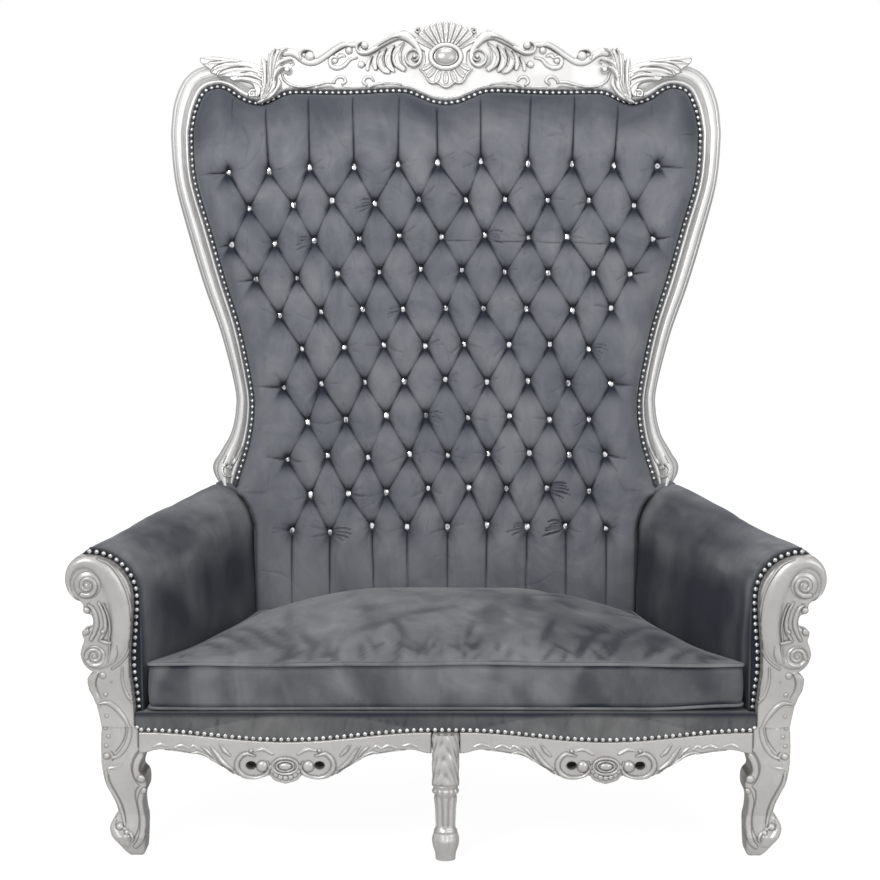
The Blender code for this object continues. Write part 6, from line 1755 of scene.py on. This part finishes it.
LEG_EDGE = [
    (-725, 284.7), (-727, 255), (-727, 226), (-725, 191), (-719, 159), (-706, 130), (-698, 110), (-696, 92),
    (-709, 75), (-712, 58), (-705, 40), (-692, 24), (-680, 9), (-670, 0.5), (-645, 0.5), (-639, 10), (-637, 51),
    (-636, 80), (-640, 101), (-641, 127), (-633, 147), (-634, 174), (-645, 188), (-643, 203), (-637, 222),
    (-642, 236), (-646, 240), (-646, 284.7),
]
LEG_DEPTHS = [
    (0.285, -0.400, -0.330), (0.235, -0.4040, -0.330), (0.205, -0.4060, -0.332), (0.160, -0.4020, -0.336),
    (0.120, -0.3965, -0.342), (0.090, -0.3950, -0.346), (0.070, -0.3990, -0.344), (0.045, -0.4055, -0.342),
    (0.020, -0.4000, -0.346), (0.0, -0.3950, -0.350),
]


def outer_legs():
    """Carved legs under the arms, their edges drawn from the top down the outside and up the inside."""
    step = 0.0013
    field = Field((-0.735, 0.2848 - 0.285 // step * step), (-0.626, 0.2848), step)
    corners = np.array(LEG_EDGE) * MM
    edge = np.vstack([smooth(corners[:14], 5), smooth(corners[14:26], 5), corners[26:],
                      [(-0.646, 0.31), (-0.725, 0.31)]])
    field.body(edge, 0.006, 0.007)
    carve(field, LEG, 0.0045, LEG_CARVING, solid=False)
    heights, fronts, backs = np.array(LEG_DEPTHS)[::-1].T

    def place(x, out, z):
        front = np.interp(z, heights, fronts) + 0.006
        return np.stack([x, np.where(out >= 0, front - out, np.interp(z, heights, backs)), z], axis=-1)

    pair(field, "front_foot_", place, 0.01, SILVER, FRONT_EDGE_SHADE, "front_leg_")


APRON_EDGE = [
    (0.000, 1.000), (0.081, 0.928), (0.115, 0.830), (0.214, 0.892), (0.324, 0.839), (0.422, 0.668),
    (0.503, 0.534), (0.584, 0.435), (0.681, 0.381), (0.779, 0.345), (0.876, 0.336), (0.951, 0.390),
    (1.000, 0.408),
]
APRON_CARVING = [
    ("round", 4, [(20, 352, 10), (120, 322, 13), (280, 302, 13), (380, 312, 13), (480, 330, 13), (556, 314, 13),
                  (636, 342, 13), (716, 400, 13), (816, 480, 13), (900, 526, 10)]),
    ("soft", 3, [(330, 270, 8), (400, 250, 20), (470, 274, 8)]),
    ("soft", 3, [(480, 276, 8), (520, 254, 18), (566, 286, 8)]),
    ("soft", 3, [(120, 262, 8), (190, 238, 18), (270, 256, 8)]),
    ("ridge", 5, [(690, 262, 8), (740, 330, 22), (804, 416, 24), (900, 484, 12)]),
    ("ridge", 5, [(780, 240, 8), (822, 300, 20), (872, 346, 10)]),
    ("ridge", 4, [(600, 262, 8), (650, 300, 16), (700, 362, 8)]),
    ("round", 7, [(1120, 346, 8), (1020, 328, 20), (950, 396, 24), (950, 480, 26), (1020, 548, 26),
                  (1120, 566, 26), (1212, 536, 22), (1258, 474, 18), (1240, 412, 12)]),
    ("soft", 5, [(1110, 300, 8), (1200, 286, 20), (1290, 330, 14)]),
    ("ball", 9, (1190, 450, 58)), ("ball", 5, (1080, 300, 20)),
]
APRON_HOLE = (1080, 442, 0)
HOLE_SIZE = (0.0115, 0.0092)
APRON_TOP = 0.2735
APRON_FALL = 0.1115
BOSS_Z = 0.2025
APRON_ENDS = (0.0293, 0.6457)


def rectangle(x, z, half_x, half_z):
    return [(x - half_x, z - half_z), (x + half_x, z - half_z), (x + half_x, z + half_z), (x - half_x, z + half_z)]


def aprons():
    """Curved apron under each half of the seat, pierced twice, with a boss on its middle."""
    step = 0.0013
    start, end = APRON_ENDS
    middle, half = (start + end) / 2, (end - start) / 2
    boss_x = -middle
    (hole_x, hole_z, _), = APRON([APRON_HOLE])
    field = Field((-0.650, 0.158), (-0.026, 0.276), step)
    low = smooth([(share * half, APRON_TOP - drop * APRON_FALL) for share, drop in APRON_EDGE], 4)
    left = (low * (-1, 1) + (middle, 0))[::-1]
    xs = np.linspace(end, start, 60)
    outline = np.vstack([left[:-1], low + (middle, 0), np.column_stack([xs, nail_height(xs)])]) * (-1, 1)
    field.body(outline, 0.004, 0.003)
    for flip in (None, boss_x):
        carve(field, APRON, 0.003, APRON_CARVING, solid=False, flip=flip)
        field.hole(hole_x if flip is None else 2 * flip - hole_x, hole_z, *HOLE_SIZE)
    field.out = np.maximum(field.out, field.polygon(outline) - 0.002)
    beads = np.radians([180 + 21 * k for k in range(-4, 5)])
    for px, pz, size in ring_of(boss_x, BOSS_Z, 0.030, 0.0265, 0.0060, beads):
        field.dome(px, pz, size, size, 0.0045, 0.0035, solid=False)
    pair(field, "apron_carving_", in_front(APRON_Y), APRON_DEPTH, SILVER, FRONT_EDGE_SHADE, "apron_")
    # A dark plate behind the two holes: painted shadow seen through them.
    reach = abs(hole_x - boss_x) + 0.017
    lining = Field((boss_x - reach - 0.004, hole_z - 0.018), (boss_x + reach + 0.004, hole_z + 0.018), 0.002)
    lining.body(rectangle(boss_x, hole_z, reach, 0.014), 0.001, 0.0005)
    pair(lining, "apron_hole_shade_", in_front(HOLE_SHADE_Y), 0.001, PIPING, 0.0, slot="velvet")
    boss = Field((boss_x - 0.034, BOSS_Z - 0.026), (boss_x + 0.034, BOSS_Z + 0.026), step)
    boss.dome(boss_x, BOSS_Z, 0.0305, 0.0205, 0.0035, power=0.5)
    for size in ((0.0270, 0.0172, 0.0030), (0.0185, 0.0110, 0.0022)):
        boss.stroke(ring_of(boss_x, BOSS_Z, *size, np.linspace(0, 6.4, 26)), 0.0035, "round", 0.0030, solid=False)
    boss.dome(boss_x, BOSS_Z, 0.0140, 0.0078, 0.0060, 0.0035, solid=False)
    pair(boss, "apron_cartouche_", in_front(BOSS_Y), 0.0, SILVER, FRONT_EDGE_SHADE, "apron_boss_")


CENTRE_LEG_TOP = 0.2732
CENTRE_LEG = [
    (1.000, 0.97), (0.590, 1.00), (0.578, 0.90), (0.566, 0.86), (0.552, 0.95), (0.530, 0.93), (0.517, 0.80),
    (0.400, 0.68), (0.275, 0.64), (0.248, 0.74), (0.232, 0.86), (0.216, 0.84), (0.200, 0.90), (0.160, 0.99),
    (0.110, 0.93), (0.060, 0.78), (0.030, 0.74), (0.000, 0.72),
]


def centre_leg_relief(up, angle):
    """How far the centre leg's surface stands out at a height, from 0 to 1, and its patina."""
    bump, mark = np.zeros(len(angle)), np.zeros(len(angle))
    if up > 0.595:
        wave = np.sin(46 * up + 5.0 * np.cos(2.0 * angle)) * np.cos(6 * angle + 9 * up)
        bump += 0.0022 * wave
        mark += 0.70 * unit(-wave) ** 1.3
        bump += 0.0014 * (bell((up - 0.80) / 0.10) * np.cos(5 * angle - 0.4))
        mark += 0.8 * bell((up - 0.606) / 0.006)
    elif up > 0.515:
        gems = np.cos(12 * angle) * math.sin(math.pi * min((up - 0.515) / 0.065, 1))
        bump += 0.0012 * gems
        mark += 0.6 * unit(-gems)
    elif up > 0.245:
        flutes = np.cos(8 * angle)
        fall = ease((up - 0.245) / 0.03) * ease((0.515 - up) / 0.03)
        bump += 0.0022 * flutes * fall
        mark += 0.65 * unit(-flutes) ** 2 * fall + 0.5 * bell((up - 0.508) / 0.008)
    elif up > 0.045:
        petals = np.abs(np.cos(3.5 * angle)) ** 0.5
        fall = math.sin(math.pi * (up - 0.045) / 0.200)
        bump += 0.0022 * (petals - 0.6) * fall
        mark += 0.7 * unit(0.55 - petals) * fall + 0.5 * bell((up - 0.222) / 0.006)
    face = np.abs(((angle + math.pi / 2 + math.pi) % (2 * math.pi)) - math.pi)
    return bump + 0.0030 * bell(face / 0.42, (up - 0.15) / 0.035), unit(mark)


def centre_leg():
    """Tapering leg: leafy block, gemmed collar, fluted shaft and petalled ball."""
    rows = np.array(CENTRE_LEG)[::-1]
    angle = np.arange(96) * 2 * math.pi / 96 - math.pi / 2
    box = 1 / np.maximum(np.abs(np.cos(angle)), np.abs(np.sin(angle))) ** 0.55
    rings, shade_and_patina = [], []
    for up in np.linspace(0, 1, 150):
        girth = np.interp(up, rows[:, 0], rows[:, 1])
        shape = blend(np.ones(96), np.minimum(box, 1.10) * 0.97, ease((up - 0.575) / 0.02))
        bump, mark = centre_leg_relief(up, angle)
        x = np.clip((0.029 * girth * shape + bump) * np.cos(angle), -0.029, 0.029)
        y = np.minimum(-0.4086 + (0.0246 * girth * shape + bump) * np.sin(angle), -0.3841)
        rings.append(np.column_stack([x, y, np.full(96, up * CENTRE_LEG_TOP)]))
        shade_and_patina.append(mark)
    made = skin("front_foot_centre", rings, SILVER, shade_and_patina, sharp=60)
    dressed(made, "frame", "carved_silver", "front_leg_centre")


# Stage


LAMPS = (
    ("key", (-1.9, -3.6, 3.4), (0.0, 0.0, 0.9), 1.9, 72.0),
    ("fill", (2.6, -3.2, 2.2), (0.0, 0.0, 0.9), 2.4, 30.0),
    ("top", (0.0, -0.4, 4.2), (0.0, 0.1, 0.8), 1.8, 26.0),
    ("rear", (0.6, 4.0, 2.8), (0.0, 0.0, 0.9), 2.4, 26.0),
)


def studio_floor():
    """Pale floor that the camera sees fade into the white of the world."""
    made = Finish("studio_floor", Roughness=0.8)
    tint = made.mix(made.spread(made.noise(3.0, 3.0), 0.3, 0.7), (0.86, 0.86, 0.86, 1), (0.90, 0.90, 0.90, 1))
    made.shade(Base_Color=tint)
    glow = made.node("Emission", Color=(1, 1, 1, 1), Strength=1.105)
    away = made.node("VectorMath", {"operation": "LENGTH"}, i0=made.node("TexCoord").outputs["Object"]).outputs[1]
    seen = made.node("LightPath").outputs["Is Camera Ray"]
    share = made.math("MULTIPLY", seen, made.spread(away, 1.3, 2.8, 0.86, 1.0))
    blender = made.node("MixShader", i0=share, i1=made.shader.outputs[0], i2=glow.outputs[0])
    made.put(made.tree.nodes["Material Output"], Surface=blender.outputs[0])
    low = -0.0004
    return new_piece("floor", [(-9, -9, low), (9, -9, low), (9, 9, low), (-9, 9, low)], [(0, 1, 2, 3)], [],
                     made.material)


def stage():
    """Floor, white world, lamps and the photograph's camera."""
    scene = bpy.context.scene
    studio_floor()
    scene.world = bpy.data.worlds.new("studio")
    scene.world.use_nodes = True
    world = Nodes(scene.world.node_tree)
    rays = world.node("LightPath").outputs
    seen = world.math("MAXIMUM", rays["Is Camera Ray"], rays["Is Transmission Ray"])
    level = world.spread(world.math("MULTIPLY_ADD", rays["Is Glossy Ray"], 0.8, seen), 0.0, 1.0, 0.50, 1.0)
    world.put(world.tree.nodes["Background"], Color=(1, 1, 1, 1), Strength=level)
    for name, place, aim, size, power in LAMPS:
        lamp = bpy.data.lights.new(name, "AREA")
        lamp.shape, lamp.size, lamp.energy = "DISK", size, power
        holder = bpy.data.objects.new(name, lamp)
        scene.collection.objects.link(holder)
        holder.location = place
        holder.rotation_euler = (Vector(aim) - Vector(place)).to_track_quat("-Z", "Y").to_euler()
    eye = bpy.data.cameras.new("camera")
    eye.sensor_width, eye.lens, eye.clip_end = 36.0, 72.45, 60.0
    holder = bpy.data.objects.new("camera", eye)
    scene.collection.objects.link(holder)
    holder.location = (0.0, -4.033, 1.32)
    holder.rotation_euler = (math.radians(90 - 6.719), 0.0, math.radians(0.1844))
    scene.camera = holder
    scene.view_settings.view_transform = "Standard"


def plain_nodes():
    """Finishes of the CAD nodes that stay: hidden timber, webbing, rear legs and covered side rails."""
    finishes = {"seat_rail_left": VELVET_SHADE, "seat_rail_right": VELVET_SHADE, "seat_webbing": JUTE}
    for name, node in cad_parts.items():
        finish = SILVER if name.startswith("rear_leg") else finishes.get(name, TIMBER)
        for slot in node.material_slots:
            slot.material = finish


stage()
plain_nodes()
pad = back_pad()
crystals(pad)
back_trim()
back_stiles()
arms()
arm_trim()
front_border()
cushion()
seat_covers()
back_cover()
back_posts()
crest_board()
crest_scrolls()
crest_fronds()
crest_fan()
shoulder_leaves()
facings()
outer_legs()
aprons()
centre_leg()
